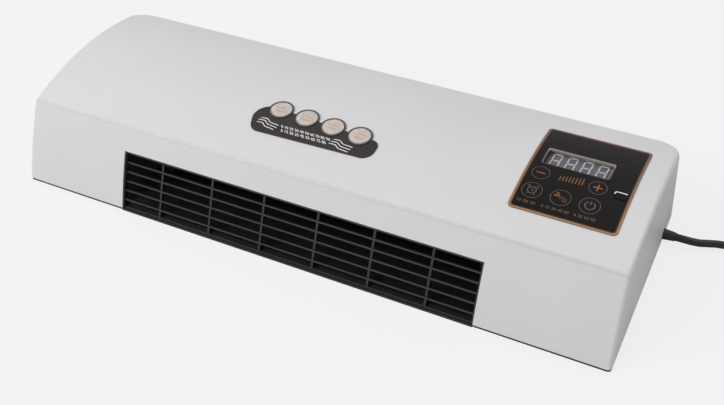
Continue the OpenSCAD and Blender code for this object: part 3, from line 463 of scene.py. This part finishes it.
def cover_abs():
    """White ABS from a finely blasted mould: satin, with painted shade: a slightly greyer line along the
    crease.
    """
    material, shader, place = start_finish("satin_white_abs")
    drift = noise(material, place, 90)
    grain = noise(material, place, 1.1, 3.0)
    tone = blend_colours(material, drift, "#d9d8da", "#dcdbdd")
    # Painted shade: within about 2 mm of the crease the colour turns greyer.
    to_crease = add_node(material, "ShaderNodeMapping", {"Location": (0, -CREASE[0] * MM, -CREASE[1] * MM),
                         "Scale": (0, 1, 1)}, {"Vector": place})
    away = add_node(material, "ShaderNodeVectorMath", None, {0: to_crease.outputs["Vector"]},
                    operation="LENGTH")
    near = ramp(material, away.outputs["Value"], 0.8 * MM, 2.2 * MM, 0.55, 0.0)
    join_socket(material, mix_colours(material, near, tone, "#c4c0bd"), shader, "Base Color")
    join_socket(material, vary(material, grain, 0.36, 0.46), shader, "Roughness")
    join_socket(material, bump(material, grain, 0.012), shader, "Normal")
    shader.inputs["IOR"].default_value = 1.52
    return material


def panel_film():
    """Back-printed polycarbonate film: deep brown black, a low sheen with a faint ripple from its glue."""
    material, shader, place = start_finish("black_polycarbonate_film")
    ripple = noise(material, place, 14)
    speck = noise(material, place, 0.9, 2.0)
    join_socket(material, blend_colours(material, speck, "#0d0a0a", "#151110"), shader, "Base Color")
    join_socket(material, vary(material, ripple, 0.22, 0.30), shader, "Roughness")
    join_socket(material, bump(material, ripple, 0.04), shader, "Normal")
    shader.inputs["IOR"].default_value = 1.33
    return material


def printed_ink(name, colour, shade, metallic, rough):
    """Screen-printed ink: tiny breaks of the mesh in its tone."""
    material, shader, place = start_finish(name)
    mesh = noise(material, place, 0.8, 2.0)
    join_socket(material, blend_colours(material, mesh, shade, colour), shader, "Base Color")
    join_socket(material, vary(material, mesh, rough - 0.06, rough + 0.06), shader, "Roughness")
    shader.inputs["Metallic"].default_value = metallic
    return material


def brushed_foil(name, low_y, high_y, stops, rough, metallic):
    """Hot-stamped foil: a fine brushed streak, and painted reflection: a tone that turns darker or paler
    across the panel.
    """
    material, shader, place = start_finish(name)
    spot = add_node(material, "ShaderNodeSeparateXYZ", None, {"Vector": place})
    streak = noise(material, place, 1.2, 3.0, (0.15, 1, 1))
    across = ramp(material, spot.outputs["Y"], low_y * MM, high_y * MM)
    tone = add_node(material, "ShaderNodeValToRGB", None, {"Fac": across})
    first, last = tone.color_ramp.elements
    first.color, last.color = linear(stops[0][1]), linear(stops[-1][1])
    for at, code in stops[1:-1]:
        tone.color_ramp.elements.new(at).color = linear(code)
    dim = vary(material, streak, 0.9, 1.0)
    shaded = add_node(material, "ShaderNodeVectorMath", None, {0: tone.outputs["Color"], 1: dim},
                      operation="MULTIPLY")
    join_socket(material, shaded.outputs["Vector"], shader, "Base Color")
    join_socket(material, vary(material, streak, rough - 0.06, rough + 0.06), shader, "Roughness")
    shader.inputs["Metallic"].default_value = metallic
    return material


def smoked_window():
    """Smoked acrylic: lets the display through, darkened, under a polished face."""
    material, shader, place = start_finish("smoked_acrylic")
    ripple = noise(material, place, 20)
    join_socket(material, blend_colours(material, ripple, "#3c3a3e", "#434146"), shader, "Base Color")
    join_socket(material, vary(material, ripple, 0.06, 0.12), shader, "Roughness")
    shader.inputs["IOR"].default_value = 1.49
    shader.inputs["Alpha"].default_value = 0.18
    return material


def glowing(name, colour, shade, strength, grain_mm):
    """A face that gives off its own light: even, with faint warmer spots. It serves a lit display behind a
    light-spreading film, and a painted highlight.
    """
    material, shader, place = start_finish(name)
    spread = noise(material, place, grain_mm)
    glow = blend_colours(material, spread, shade, colour)
    join_socket(material, glow, shader, "Base Color")
    join_socket(material, glow, shader, "Emission Color")
    shader.inputs["Emission Strength"].default_value = strength
    shader.inputs["Roughness"].default_value = 0.5
    return material


def round_place(material):
    """Place across a round piece from its own UV map: the map, its height and its distance out."""
    own = add_node(material, "ShaderNodeUVMap", uv_map="round_place").outputs["UV"]
    spot = add_node(material, "ShaderNodeSeparateXYZ", None, {"Vector": own})
    out = add_node(material, "ShaderNodeVectorMath", None, {0: own}, operation="LENGTH")
    return own, spot.outputs["Y"], out.outputs["Value"]


def pearl_disc():
    """Pearl lacquer over spun aluminium: pale, with soft tan waves, fading out at its lower edge."""
    material, shader, place = start_finish("pearl_lacquered_aluminium")
    own, height, out = round_place(material)
    cloud = noise(material, place, 4.0)
    grain = noise(material, place, 0.7, 3.0)
    pale = blend_colours(material, cloud, "#c6bdb9", "#ddd6d3")
    wave = add_node(material, "ShaderNodeTexWave", {"Scale": 0.85, "Distortion": 3.6, "Detail": 1.0,
                    "Detail Scale": 1.4}, {"Vector": own}, bands_direction="Y").outputs["Fac"]
    middle = ramp(material, out, 0.3, 0.78, 1.0, 0.0)
    marks = both(material, ramp(material, wave, 0.3, 0.8, 0.12, 0.8), middle)
    waved = mix_colours(material, marks, pale, "#cfa57a")
    fade = both(material, ramp(material, out, 0.8, 1.0, 0.0, 0.8), ramp(material, height, 0.0, -0.6))
    join_socket(material, mix_colours(material, fade, waved, "#544c49"), shader, "Base Color")
    join_socket(material, vary(material, grain, 0.34, 0.46), shader, "Roughness")
    join_socket(material, bump(material, grain, 0.02), shader, "Normal")
    shader.inputs["Metallic"].default_value = 0.15
    shader.inputs["Coat Weight"].default_value = 0.3
    shader.inputs["Coat Roughness"].default_value = 0.2
    return material


def rim_lacquer():
    """The plate's lacquer on the raised rims, with painted light: paler towards their upper side, and a
    painted highlight on their inner part along the lower side.
    """
    material, shader, place = start_finish("brown_lacquer_painted_light")
    own, height, out = round_place(material)
    flake = noise(material, place, 0.6, 2.0)
    # Painted light: the rims turn paler towards their upper side, broken by the flake.
    lit_upper_side = both(material, ramp(material, height, -0.35, 0.75), ramp(material, flake, 0.2, 0.8, 0.8, 1.0))
    tone = mix_colours(material, lit_upper_side, "#332d2b", "#69615e")
    # Painted highlight: a paler band on the rim's inner part, on its lower side.
    glint = both(material, ramp(material, out, 0.94, 0.85, 0.0, 0.6), ramp(material, height, 0.1, -0.6))
    join_socket(material, mix_colours(material, glint, tone, "#857d79"), shader, "Base Color")
    join_socket(material, vary(material, flake, 0.34, 0.44), shader, "Roughness")
    shader.inputs["Metallic"].default_value = 0.1
    return material


def badge_lacquer():
    """Dark brown lacquer with a fine metallic flake, so it isn't a dead black."""
    material, shader, place = start_finish("metallic_brown_lacquer")
    flake = noise(material, place, 0.6, 2.0)
    cloud = noise(material, place, 25)
    base = blend_colours(material, cloud, "#2e2827", "#36302f")
    lit = ramp(material, flake, 0.55, 0.75, 0.0, 0.25)
    join_socket(material, mix_colours(material, lit, base, "#6a605b"), shader, "Base Color")
    join_socket(material, vary(material, flake, 0.3, 0.42), shader, "Roughness")
    shader.inputs["Metallic"].default_value = 0.1
    return material


def circuit_board(name, mask, track, rough):
    """A lacquered circuit board: copper tracks show as a paler pattern under the lacquer."""
    material, shader, place = start_finish(name)
    tracks = add_node(material, "ShaderNodeTexBrick", {"Scale": 60.0, "Mortar Size": 0.035,
                      "Brick Width": 0.9, "Row Height": 0.22}, {"Vector": place}, offset=0.37)
    cloud = noise(material, place, 7)
    join_socket(material, mix_colours(material, tracks.outputs["Fac"], mask, track), shader, "Base Color")
    join_socket(material, vary(material, cloud, rough - 0.06, rough + 0.06), shader, "Roughness")
    join_socket(material, bump(material, tracks.outputs["Fac"], 0.03), shader, "Normal")
    return material


def cord_sheath():
    """Extruded PVC sheath: satin black, faintly rippled where it was drawn and coiled."""
    material, shader, place = start_finish("extruded_black_pvc")
    ripple = noise(material, place, 5.0)
    fine = noise(material, place, 0.8, 3.0)
    join_socket(material, blend_colours(material, ripple, "#191719", "#232123"), shader, "Base Color")
    join_socket(material, vary(material, ripple, 0.34, 0.48), shader, "Roughness")
    join_socket(material, bump(material, fine, 0.02), shader, "Normal")
    return material


# The way straight into the outlet, square to the leaning front face
INTO_OUTLET = (0, 0.886, -0.463)


def make_finishes():
    """The finish of each of the record's material slots."""
    return {
        "cover_white": cover_abs(),
        # Back plate, fan and holders: black ABS, eroded grain, soft sheen
        "black_plastic": moulded("grained_black_abs", "#1c1c1e", "#161618", 0.48, 0.9, 0.04),
        # Grilles: heat-resistant nylon, full tone on the outlet's front edges; painted shade darkens it to
        # a fifth just behind them, inside the outlet
        "grille_grey": paint_light_along(moulded("black_glass_filled_nylon", "#3a3a3c", "#303033", 0.5, 0.8, 0.03),
                                  INTO_OUTLET, -86.4, -85.4, 1.0, 0.2),
        "panel_black": panel_film(),
        "window_grey": smoked_window(),
        # The receiver's lens: polished infrared-pass acrylic, almost black
        "lens_black": moulded("infrared_acrylic", "#100e10", "#0c0a0c", 0.2, 8.0, 0.01, ior=1.33),
        "badge_brown": badge_lacquer(),
        # Under the pearl discs: bare spun aluminium
        "disc_silver": worked_metal("spun_aluminium", "#c9c6c4", "#b9b5b3", 0.35, 0.5, 0.01),
        # Switches, sounder and thermostat: moulded component cases
        "component_dark": moulded("grey_component_resin", "#2f2e31", "#29282b", 0.5, 0.7, 0.02),
        "board_green": circuit_board("lacquered_glass_epoxy", "#1d5a33", "#3a7d4e", 0.3),
        "board_brown": circuit_board("phenolic_paper_board", "#a57a3c", "#c0924e", 0.5),
        "relay_blue": moulded("relay_polyester", "#2e5ea8", "#284f93", 0.38, 0.9, 0.02),
        "capacitor_yellow": moulded("capacitor_polypropylene", "#d9b634", "#c7a42c", 0.4, 0.8, 0.02),
        "terminal_green": moulded("terminal_polyamide", "#3f8f58", "#35794a", 0.42, 0.8, 0.02),
        # Silicone insulation: soft, pale, slightly dusty
        "wire_sheath": moulded("silicone_insulation", "#dcd9cc", "#cfccbd", 0.55, 1.5, 0.03, 12, 1.41),
        # Duct and brackets: sheet steel under black stove enamel with a faint orange peel. Painted light
        # makes it up to seven times paler towards the duct's left end, where light falls on the end wall
        # inside the outlet
        "sheet_metal": paint_light_along(moulded("black_stove_enamel", "#131314", "#0e0e0f", 0.6, 2.5, 0.03, 40,
                                          1.4), (1, 0, 0), -172, -150, 7.0, 1.0),
        "bright_steel": worked_metal("zinc_plated_steel", "#b9bbbf", "#a3a6ab", 0.3, 0.5, 0.01),
        "bronze": worked_metal("sintered_bronze", "#b58a4e", "#9a733e", 0.5, 0.6, 0.03),
        # Sheets of silicon steel 0.5 mm thick, drawn at 1 mm so that the stack shows
        "laminations": banded("stacked_silicon_steel", "#6d6f74", "#46484c", 1.0, "X", 0.45, 1.0, 0.15),
        # Enamelled wire 0.4 mm thick, drawn at 0.8 mm
        "copper_winding": banded("enamelled_copper_wire", "#b0623a", "#6d3720", 0.8, "X", 0.3, 0.8, 0.2),
        # Heater fins: mill-finish aluminium, darkened as painted shade deep inside the outlet
        "aluminium_fins": worked_metal("fin_aluminium_in_painted_shade", "#5a5b5d", "#4c4d4f", 0.4, 0.8, 0.02,
                                       (0.2, 1, 1)),
        # Heater holders: steatite, darkened as painted shade deep inside the outlet
        "ceramic": moulded("steatite_in_painted_shade", "#3b3936", "#32302e", 0.6, 0.6, 0.04),
        "cord_black": cord_sheath(),
        "plug_metal": worked_metal("nickel_plated_brass", "#c9c6be", "#b7b3aa", 0.2, 0.6, 0.01,
                                   (1, 1, 0.1)),
    }


def dress_frame(finishes):
    """Every node of the frame gets the finish of its slot."""
    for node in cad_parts.values():
        slot = node.data.materials[0].name.split(".")[0]
        node.data.materials[0] = finishes[slot]


# Control panel

# Middle, width and height of the panel, and middle and radius of each key
PANEL = (214.3, 18.0, 86.6, 104.0)
KEYS = {"key_minus": (184.0, 7.6, 7.4), "key_plus": (230.2, 7.6, 7.4), "key_timer": (184.0, -12.8, 8.3),
        "key_mode": (207.1, -12.8, 8.3), "key_power": (230.2, -12.8, 8.3)}
# Height of the overlay and of the key's caps above the crowned face, and of the ink above them
OVERLAY_T = 0.5
INK = 0.04
# Half of the angle left open in the power sign's ring
POWER_GAP = 28
# Lower and upper edge of the small numbers, and left and right edge of each group
NUMBERS_Y = (-26.4, -23.8)
NUMBERS_X = {"10 20 30": (176.3, 190.9), "0 15 30 45 60": (195.6, 217.7), "0 30 60 90": (221.6, 238.4)}


def print_flat(shapes, name, body, ink):
    """Flat shapes become one thin printed layer on the overlay or on a key's cap."""
    layer = join(shapes, name)
    lay_on_crown(layer, OVERLAY_T + INK, 2 * INK)
    finish_piece(layer, body, ink)


def print_panel(foil, edge_ink, copper, label_ink):
    """The two-tone border, the row of growing bars and the small plain numbers under the keys."""
    x, y, width, height = PANEL
    outer = (x, y, width - 0.2, height - 0.2, 4)
    middle = (x, y, width - 3.2, height - 3.2, 2.8)
    inner = (x, y, width - 5.0, height - 5.0, 2.1)
    for name, outside, inside, ink in (("panel_border", outer, middle, foil),
                                       ("border_edge", middle, inner, edge_ink)):
        band = frame_between(outside, inside)
        slice_along(band, y - height / 2, y + height / 2, 4)
        print_flat([band], name, "heater", ink)
    bars = [stroke(199.9 + 2.55 * k, 7.15 + 0.315 * k, 1.0, 5.1 + 0.43 * k, corner=0.2) for k in range(8)]
    print_flat(bars, "level_bars", "heater", copper)
    rows = [numbers(words, *edges, *NUMBERS_Y) for words, edges in NUMBERS_X.items()]
    print_flat(rows, "key_numbers", "heater", label_ink)


def print_keys(ring_ink, label_ink, copper, amber):
    """A ring and a sign on each key, which move with its cap."""
    clock = [ring(183.9, -12.8, 3.75, 3.1, 40), stroke(183.9, -12.0, 0.6, 2.0),
             stroke(184.7, -13.3, 1.6, 0.6)]
    for side, turned in ((-1, 45), (1, -45)):
        clock.append(stroke(183.9 + 3.4 * side, -8.9, 2.4, 0.8, turned, 0.3))
        clock.append(stroke(183.9 + 2.8 * side, -16.6, 1.3, 0.8, -turned, 0.3))
    fan_x, fan_y = 203.9, -10.7
    petals = [math.radians(turned) for turned in (90, 210, 330)]
    fan = [disc(fan_x + 1.6 * math.cos(a), fan_y + 1.6 * math.sin(a), 1.25, 24) for a in petals]
    fan.append(disc(fan_x, fan_y, 0.33, 16))
    slash = stroke(207.9, -12.6, 4.6, 0.6, 46, 0.2)
    sun_x, sun_y = 210.6, -14.5
    sun = [ring(sun_x, sun_y, 1.4, 0.9, 24)]
    for turned in range(0, 360, 45):
        a = math.radians(turned)
        sun.append(stroke(sun_x + 2.0 * math.cos(a), sun_y + 2.0 * math.sin(a), 0.7, 0.45, turned))
    signs = {
        "key_minus": ([stroke(184, 7.6, 7.5, 1.2, corner=0.3)], label_ink),
        "key_plus": ([stroke(230.2, 7.6, 7.4, 1.05), stroke(230.2, 9.7, 1.05, 3.2),
                      stroke(230.2, 5.5, 1.05, 3.2)], amber),
        "key_timer": (clock, ring_ink),
        "key_mode": (fan + [slash] + sun, copper),
        "key_power": ([power_arc(230.3, -12.7, 4.3, 3.55), stroke(230.3, -10.1, 0.75, 3.9, corner=0.2)],
                      ring_ink),
    }
    for key, (shapes, ink) in signs.items():
        print_flat(shapes, key + "_sign", key, ink)
        x, y, radius = KEYS[key]
        print_flat([ring(x, y, radius - 0.1, radius - 0.52)], key + "_ring", key, ring_ink)


def power_arc(x, y, outer, inner):
    """A ring that is open at its top."""
    piece = ring(x, y, outer, inner, 48)

    def in_gap(face):
        from_top = math.atan2(face.center.x - x * MM, face.center.y - y * MM)
        return abs(math.degrees(from_top)) < POWER_GAP

    select_faces(piece, in_gap)
    bpy.ops.object.mode_set(mode="EDIT")
    bpy.ops.mesh.delete(type="FACE")
    end_edit()
    return piece


# Middle, width, height and corner of the window's frame
BEZEL_OUTSIDE = (207.95, 29.55, 55.9, 20.9, 2.2)
BEZEL_INSIDE = (208.04, 28.85, 53.16, 18.5, 1.5)


def window_bezel(finish):
    """The metallised frame round the display window, proud of the film and reaching down to the window."""
    bezel = frame_between(BEZEL_OUTSIDE, BEZEL_INSIDE)
    slice_along(bezel, 19, 41, 3)
    lay_on_crown(bezel, OVERLAY_T + 0.4, 0.95)
    add_modifier(bezel, "BEVEL", width=0.15 * MM, segments=2, limit_method="ANGLE")
    bezel.name = "window_bezel"
    finish_piece(bezel, "heater", finish)


# Middle of the digits, their distance, that of their rows and of their uprights, and their lean
DIGITS_X = 207.6
DIGITS_Y = 31.4
DIGIT_PITCH = 12.7
DIGIT_ROW = 7.25
DIGIT_SIDE = 3.4
LEAN = 0.079
# Place along X and width of the strips at the display's ends
MASK_LEFT = (180.85, 1.2)
MASK_RIGHT = (234.05, 4)


def display_block(case, face):
    """The display's case with a dark rim and a sunken grey face. Returns a height just below that face."""
    low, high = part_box("led_display")
    deselect()
    bpy.ops.mesh.primitive_cube_add(size=1, location=(low + high) / 2)
    bpy.context.object.scale = high - low - Vector((0, 0, 0.1 * MM))
    block = named("display_block")
    select_faces(block, lambda side: side.normal.z > 0.9)
    bpy.ops.object.mode_set(mode="EDIT")
    bpy.ops.mesh.inset(thickness=0.4 * MM, depth=-0.35 * MM)
    end_edit()
    block.data.materials.append(case)
    block.data.materials.append(face)
    for side in block.data.polygons:
        side.material_index = 1 if side.select else 0
    add_modifier(block, "BEVEL", width=0.2 * MM, segments=2, limit_method="ANGLE")
    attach(block, "heater")
    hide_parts("led_display")
    return high.z - 0.5 * MM


def display_masks(top, dark, grey):
    """Strips under the window that close the gap between the display and the opening's two ends."""
    for name, (x, width), finish in (("display_mask_left", MASK_LEFT, dark),
                                     ("display_mask_right", MASK_RIGHT, grey)):
        strip = stroke(x, 28.9, width, 20.6, corner=0.3)
        for vertex in strip.data.vertices:
            vertex.co.z = top
        add_modifier(strip, "SOLIDIFY", thickness=0.6 * MM, offset=-1)
        strip.name = name
        finish_piece(strip, "heater", finish)


def display_segments(top, lit, unlit):
    """Four lit seven-segment digits that lean to the right, and the two unlit dots between them."""
    segments = []
    for k in range(4):
        x = DIGITS_X + (k - 1.5) * DIGIT_PITCH
        for row in (-DIGIT_ROW, 0, DIGIT_ROW):
            segments.append(stroke(x, DIGITS_Y + row, 6.1, 1.2, corner=0.5))
        for side in (-DIGIT_SIDE, DIGIT_SIDE):
            for row in (-DIGIT_ROW / 2, DIGIT_ROW / 2):
                segments.append(stroke(x + side, DIGITS_Y + row, 1.2, 6.3, corner=0.5))
    dots = [disc(DIGITS_X, DIGITS_Y + row, 0.8, 20) for row in (-3.6, 3.6)]
    for shapes, name, finish in ((segments, "display_segments", lit), (dots, "display_dots", unlit)):
        piece = join(shapes, name)
        for vertex in piece.data.vertices:
            vertex.co.x += LEAN * (vertex.co.y - DIGITS_Y * MM)
            vertex.co.z = top + 0.12 * MM
        add_modifier(piece, "SOLIDIFY", thickness=0.15 * MM, offset=-1)
        finish_piece(piece, "heater", finish)


def paint_lens_glint(finish):
    """A painted highlight: a glowing hooked strip along the lens's upper edge, where its rim would catch
    the light.
    """
    spots = [(244.0, 6.0), (244.05, 7.2), (244.35, 8.1), (245.1, 8.5), (246.4, 8.55), (253.3, 8.3)]
    strip = tube("painted_lens_glint", [(x, y, crown_z(y, 1.0) - 0.45) for x, y in spots], 0.62, 4)
    finish_piece(strip, "heater", finish)


# Badge

# Middles of the discs, radii of the discs and their rims, and the plate's height above the cover
DISCS = [(-48.1 + 26.3 * k, -1.3 - 1.83 * k) for k in range(4)]
DISC_R = 9.5
RIM_R = 11.2
BADGE_T = 0.8
# The bends of each wave
WAVES = [[(-60.0, -15.7), (-53.4, -15.2), (-50.3, -18.2), (-41.0, -19.3)],
         [(-61.3, -18.3), (-54.4, -17.9), (-51.2, -21.0), (-41.2, -22.3)],
         [(-61.3, -21.3), (-55.6, -20.9), (-52.2, -24.0), (-42.9, -25.1)],
         [(12.0, -17.6), (17.9, -17.1), (21.4, -20.0), (31.0, -20.8)],
         [(10.8, -20.4), (16.9, -20.0), (20.4, -23.0), (30.2, -23.9)],
         [(10.0, -23.1), (16.0, -22.7), (19.4, -25.8), (29.3, -26.7)]]
# Pieces that each wave is cut into
WAVE_CUTS = 28


def wave_height(points, x):
    """Height of a wave at x: straight runs whose bends are rounded by averaging."""
    total = 0
    for nudge in (-1.2, -0.6, 0, 0.6, 1.2):
        at = min(max(x + nudge, points[0][0]), points[-1][0])
        for (x0, y0), (x1, y1) in zip(points, points[1:]):
            if x0 <= at <= x1:
                total += y0 + (y1 - y0) * (at - x0) / (x1 - x0)
                break
    return total / 5


def wavy_stroke(points, width):
    """One printed wave: a long bar cut across, with each cut moved to the wave's height."""
    left, right = points[0][0], points[-1][0]
    piece = stroke((left + right) / 2, 0, right - left, width)
    bpy.ops.object.mode_set(mode="EDIT")
    for k in range(1, WAVE_CUTS):
        cut = left + (right - left) * k / WAVE_CUTS
        bpy.ops.mesh.select_all(action="SELECT")
        bpy.ops.mesh.bisect(plane_co=(cut * MM, 0, 0), plane_no=(1, 0, 0))
    end_edit()
    for vertex in piece.data.vertices:
        x = vertex.co.x / MM
        slope = (wave_height(points, x + 0.3) - wave_height(points, x - 0.3)) / 0.6
        vertex.co.y = vertex.co.y * math.hypot(1, slope) + wave_height(points, x) * MM
    return piece


def print_badge(white):
    """Three waves at each end of the badge, and two rows of plain numbers between them."""
    shapes = [wavy_stroke(points, 0.75) for points in WAVES]
    shapes.append(numbers("0 10 20 30 40 50 60 70 80 90", -37.4, 9.9, -20.7, -17.8, 1.6, 0.09))
    shapes.append(numbers("5 15 25 35 45 55 65 75 85", -35.3, 8.3, -25.1, -22.1, 1.7, 0.09))
    layer = join(shapes, "badge_print")
    lay_on_crown(layer, BADGE_T + INK, 2 * INK)
    finish_piece(layer, "heater", white)


def map_round(piece, x, y, radius):
    """A UV map that runs from -1 to 1 across a round piece."""
    while piece.data.uv_layers:
        piece.data.uv_layers.remove(piece.data.uv_layers[0])
    places = piece.data.uv_layers.new(name="round_place").data
    for corner in piece.data.loops:
        spot = piece.data.vertices[corner.vertex_index].co
        places[corner.index].uv = ((spot.x / MM - x) / radius, (spot.y / MM - y) / radius)


def badge_rounds(pearl, rim_finish):
    """A raised round rim, and a pearl disc in it, for each place of the badge."""
    discs, rims = [], []
    for x, y in DISCS:
        face = disc(x, y, DISC_R)
        slice_along(face, y - DISC_R, y + DISC_R, 2)
        lay_on_crown(face, BADGE_T + 0.32, 0.26)
        add_modifier(face, "BEVEL", width=0.12 * MM, segments=2, limit_method="ANGLE")
        map_round(face, x, y, DISC_R)
        discs.append(face)
        rim = ring(x, y, RIM_R, DISC_R + 0.05, 72)
        lay_on_crown(rim, BADGE_T + 0.41, 0.44)
        add_modifier(rim, "BEVEL", width=0.3 * MM, segments=3, limit_method="ANGLE")
        map_round(rim, x, y, RIM_R)
        rims.append(rim)
    pearls = join(discs, "pearl_discs")
    bpy.ops.object.shade_smooth_by_angle(angle=ROUND_SMOOTH_ANGLE)
    finish_piece(pearls, "heater", pearl)
    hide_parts("badge_discs")
    collars = join(rims, "badge_rims")
    bpy.ops.object.shade_smooth_by_angle(angle=ROUND_SMOOTH_ANGLE)
    finish_piece(collars, "heater", rim_finish)


# Stage

# Share of its own light in what the camera sees of the paper, so that the shadow stays soft
PAPER_GLOW = 0.85
# Size of the paper and its height, just below the object's foot, in metres
PAPER = (12, -0.0003)
ROOM_LIGHT = 0.485
# Place, side and power of each lamp, in metres and watts, and the place that they are aimed at
LAMPS = {"soft_lamp": ((-1.35, -1.15, 1.95), 1.5, 37), "back_lamp": ((1.0, 1.3, 2.0), 1.4, 10)}
LAMP_AIM = (0.0, 0.0, 0.05)


def floor_finish():
    """Seamless white paper with a fine fibre."""
    material, shader, place = start_finish("seamless_paper")
    fibre = noise(material, place, 3.0)
    join_socket(material, blend_colours(material, fibre, "#d2d2d2", "#d8d8d8"), shader, "Base Color")
    shader.inputs["Roughness"].default_value = 0.9
    shader.inputs["Specular IOR Level"].default_value = 0.0
    rays = add_node(material, "ShaderNodeLightPath")
    seen = add_node(material, "ShaderNodeMath", {1: PAPER_GLOW}, {0: rays.outputs["Is Camera Ray"]},
                    operation="MULTIPLY")
    glow = add_node(material, "ShaderNodeEmission", {"Color": linear("#f8f8f8"), "Strength": 1.0})
    mixed = add_node(material, "ShaderNodeMixShader", None,
                     {0: seen.outputs[0], 1: shader.outputs[0], 2: glow.outputs[0]})
    output = material.node_tree.nodes["Material Output"]
    material.node_tree.links.new(mixed.outputs[0], output.inputs["Surface"])
    return material


def lay_floor():
    deselect()
    size, height = PAPER
    bpy.ops.mesh.primitive_plane_add(size=size, location=(0, 0, height))
    floor = named("paper_floor")
    floor.data.materials.append(floor_finish())


def light_studio():
    """A large soft lamp from the left above and a weak one from behind, in an even white room."""
    world = bpy.data.worlds.new("white_room")
    bpy.context.scene.world = world
    world.use_nodes = True
    room = world.node_tree.nodes["Background"]
    room.inputs["Color"].default_value = (1, 1, 1, 1)
    room.inputs["Strength"].default_value = ROOM_LIGHT
    seen = add_node(world, "ShaderNodeBackground", {"Color": linear("#f1f1f1")})
    rays = add_node(world, "ShaderNodeLightPath")
    mixed = add_node(world, "ShaderNodeMixShader", None,
                     {0: rays.outputs["Is Camera Ray"], 1: room.outputs[0], 2: seen.outputs[0]})
    output = world.node_tree.nodes["World Output"]
    world.node_tree.links.new(mixed.outputs[0], output.inputs["Surface"])
    for name, (place, size, power) in LAMPS.items():
        deselect()
        bpy.ops.object.light_add(type="AREA", location=place)
        lamp = bpy.context.object
        lamp.name = name
        lamp.data.shape = "SQUARE"
        lamp.data.size = size
        lamp.data.energy = power
        aim = Vector(LAMP_AIM) - lamp.location
        lamp.rotation_euler = aim.to_track_quat("-Z", "Y").to_euler()
    bpy.context.scene.view_settings.view_transform = "Standard"


# The whole: camera and cord, the frame's finishes, the panel, the badge and the stage

place_camera()
cord = lay_cord()
finishes = make_finishes()
dress_frame(finishes)
cord.data.materials.append(finishes["cord_black"])

copper_ink = printed_ink("copper_ink", "#83552f", "#70472a", 0.1, 0.45)
amber_ink = printed_ink("amber_ink", "#a86d33", "#96612e", 0.1, 0.45)
ring_ink = printed_ink("bronze_grey_ink", "#75675d", "#675a52", 0.1, 0.45)
label_ink = printed_ink("dull_copper_ink", "#8a604b", "#795240", 0.1, 0.45)
edge_ink = printed_ink("burnt_orange_ink", "#74482b", "#5f3a24", 0.1, 0.45)
white_ink = printed_ink("white_ink", "#f4f1ee", "#e6e2df", 0.0, 0.5)
# Painted reflection: the bronze foil is paler towards the panel's lower edge and darker and greyer towards
# its upper edge.
border_foil = brushed_foil("bronze_foil", -34, 70, [(0.0, "#ab855b"), (0.25, "#9d7a55"), (0.85, "#8a6f56"),
                           (0.95, "#7a6253"), (1.0, "#775e50")], 0.42, 0.1)
# Painted highlight: the champagne foil is darker along the frame's lower side, with a pale band near its
# upper side.
bezel_foil = brushed_foil("champagne_foil", 19, 40, [(0.0, "#6b594f"), (0.75, "#7d6c61"), (0.92, "#a1948b"),
                          (1.0, "#8f8177")], 0.4, 0.1)
print_panel(border_foil, edge_ink, copper_ink, label_ink)
print_keys(ring_ink, label_ink, copper_ink, amber_ink)
window_bezel(bezel_foil)
# The display's face is a matt grey film, so that the lit digits stand out but softly
display_film = moulded("grey_display_film", "#8f8d94", "#827f87", 0.6, 1.2, 0.01)
foam = moulded("grey_foam_strip", "#b3b1b8", "#a4a2a9", 0.8, 0.8, 0.05)
lit_segment = glowing("lit_display_segment", "#d6d6de", "#c3c4cd", 0.45, 3.0)
unlit_dot = printed_ink("unlit_display_dot", "#a3a1a8", "#96949b", 0.0, 0.5)
display_z = display_block(finishes["component_dark"], display_film)
display_masks(display_z, finishes["component_dark"], foam)
display_segments(display_z, lit_segment, unlit_dot)
# Painted highlight: the strip glows, though it is no lamp, in place of the glint on the lens's rim.
paint_lens_glint(glowing("painted_glint_glow", "#f4f4f8", "#e8e8ee", 0.25, 2.0))
print_badge(white_ink)
badge_rounds(pearl_disc(), rim_lacquer())
lay_floor()
light_studio()
deselect()

bpy.context.view_layer.update()
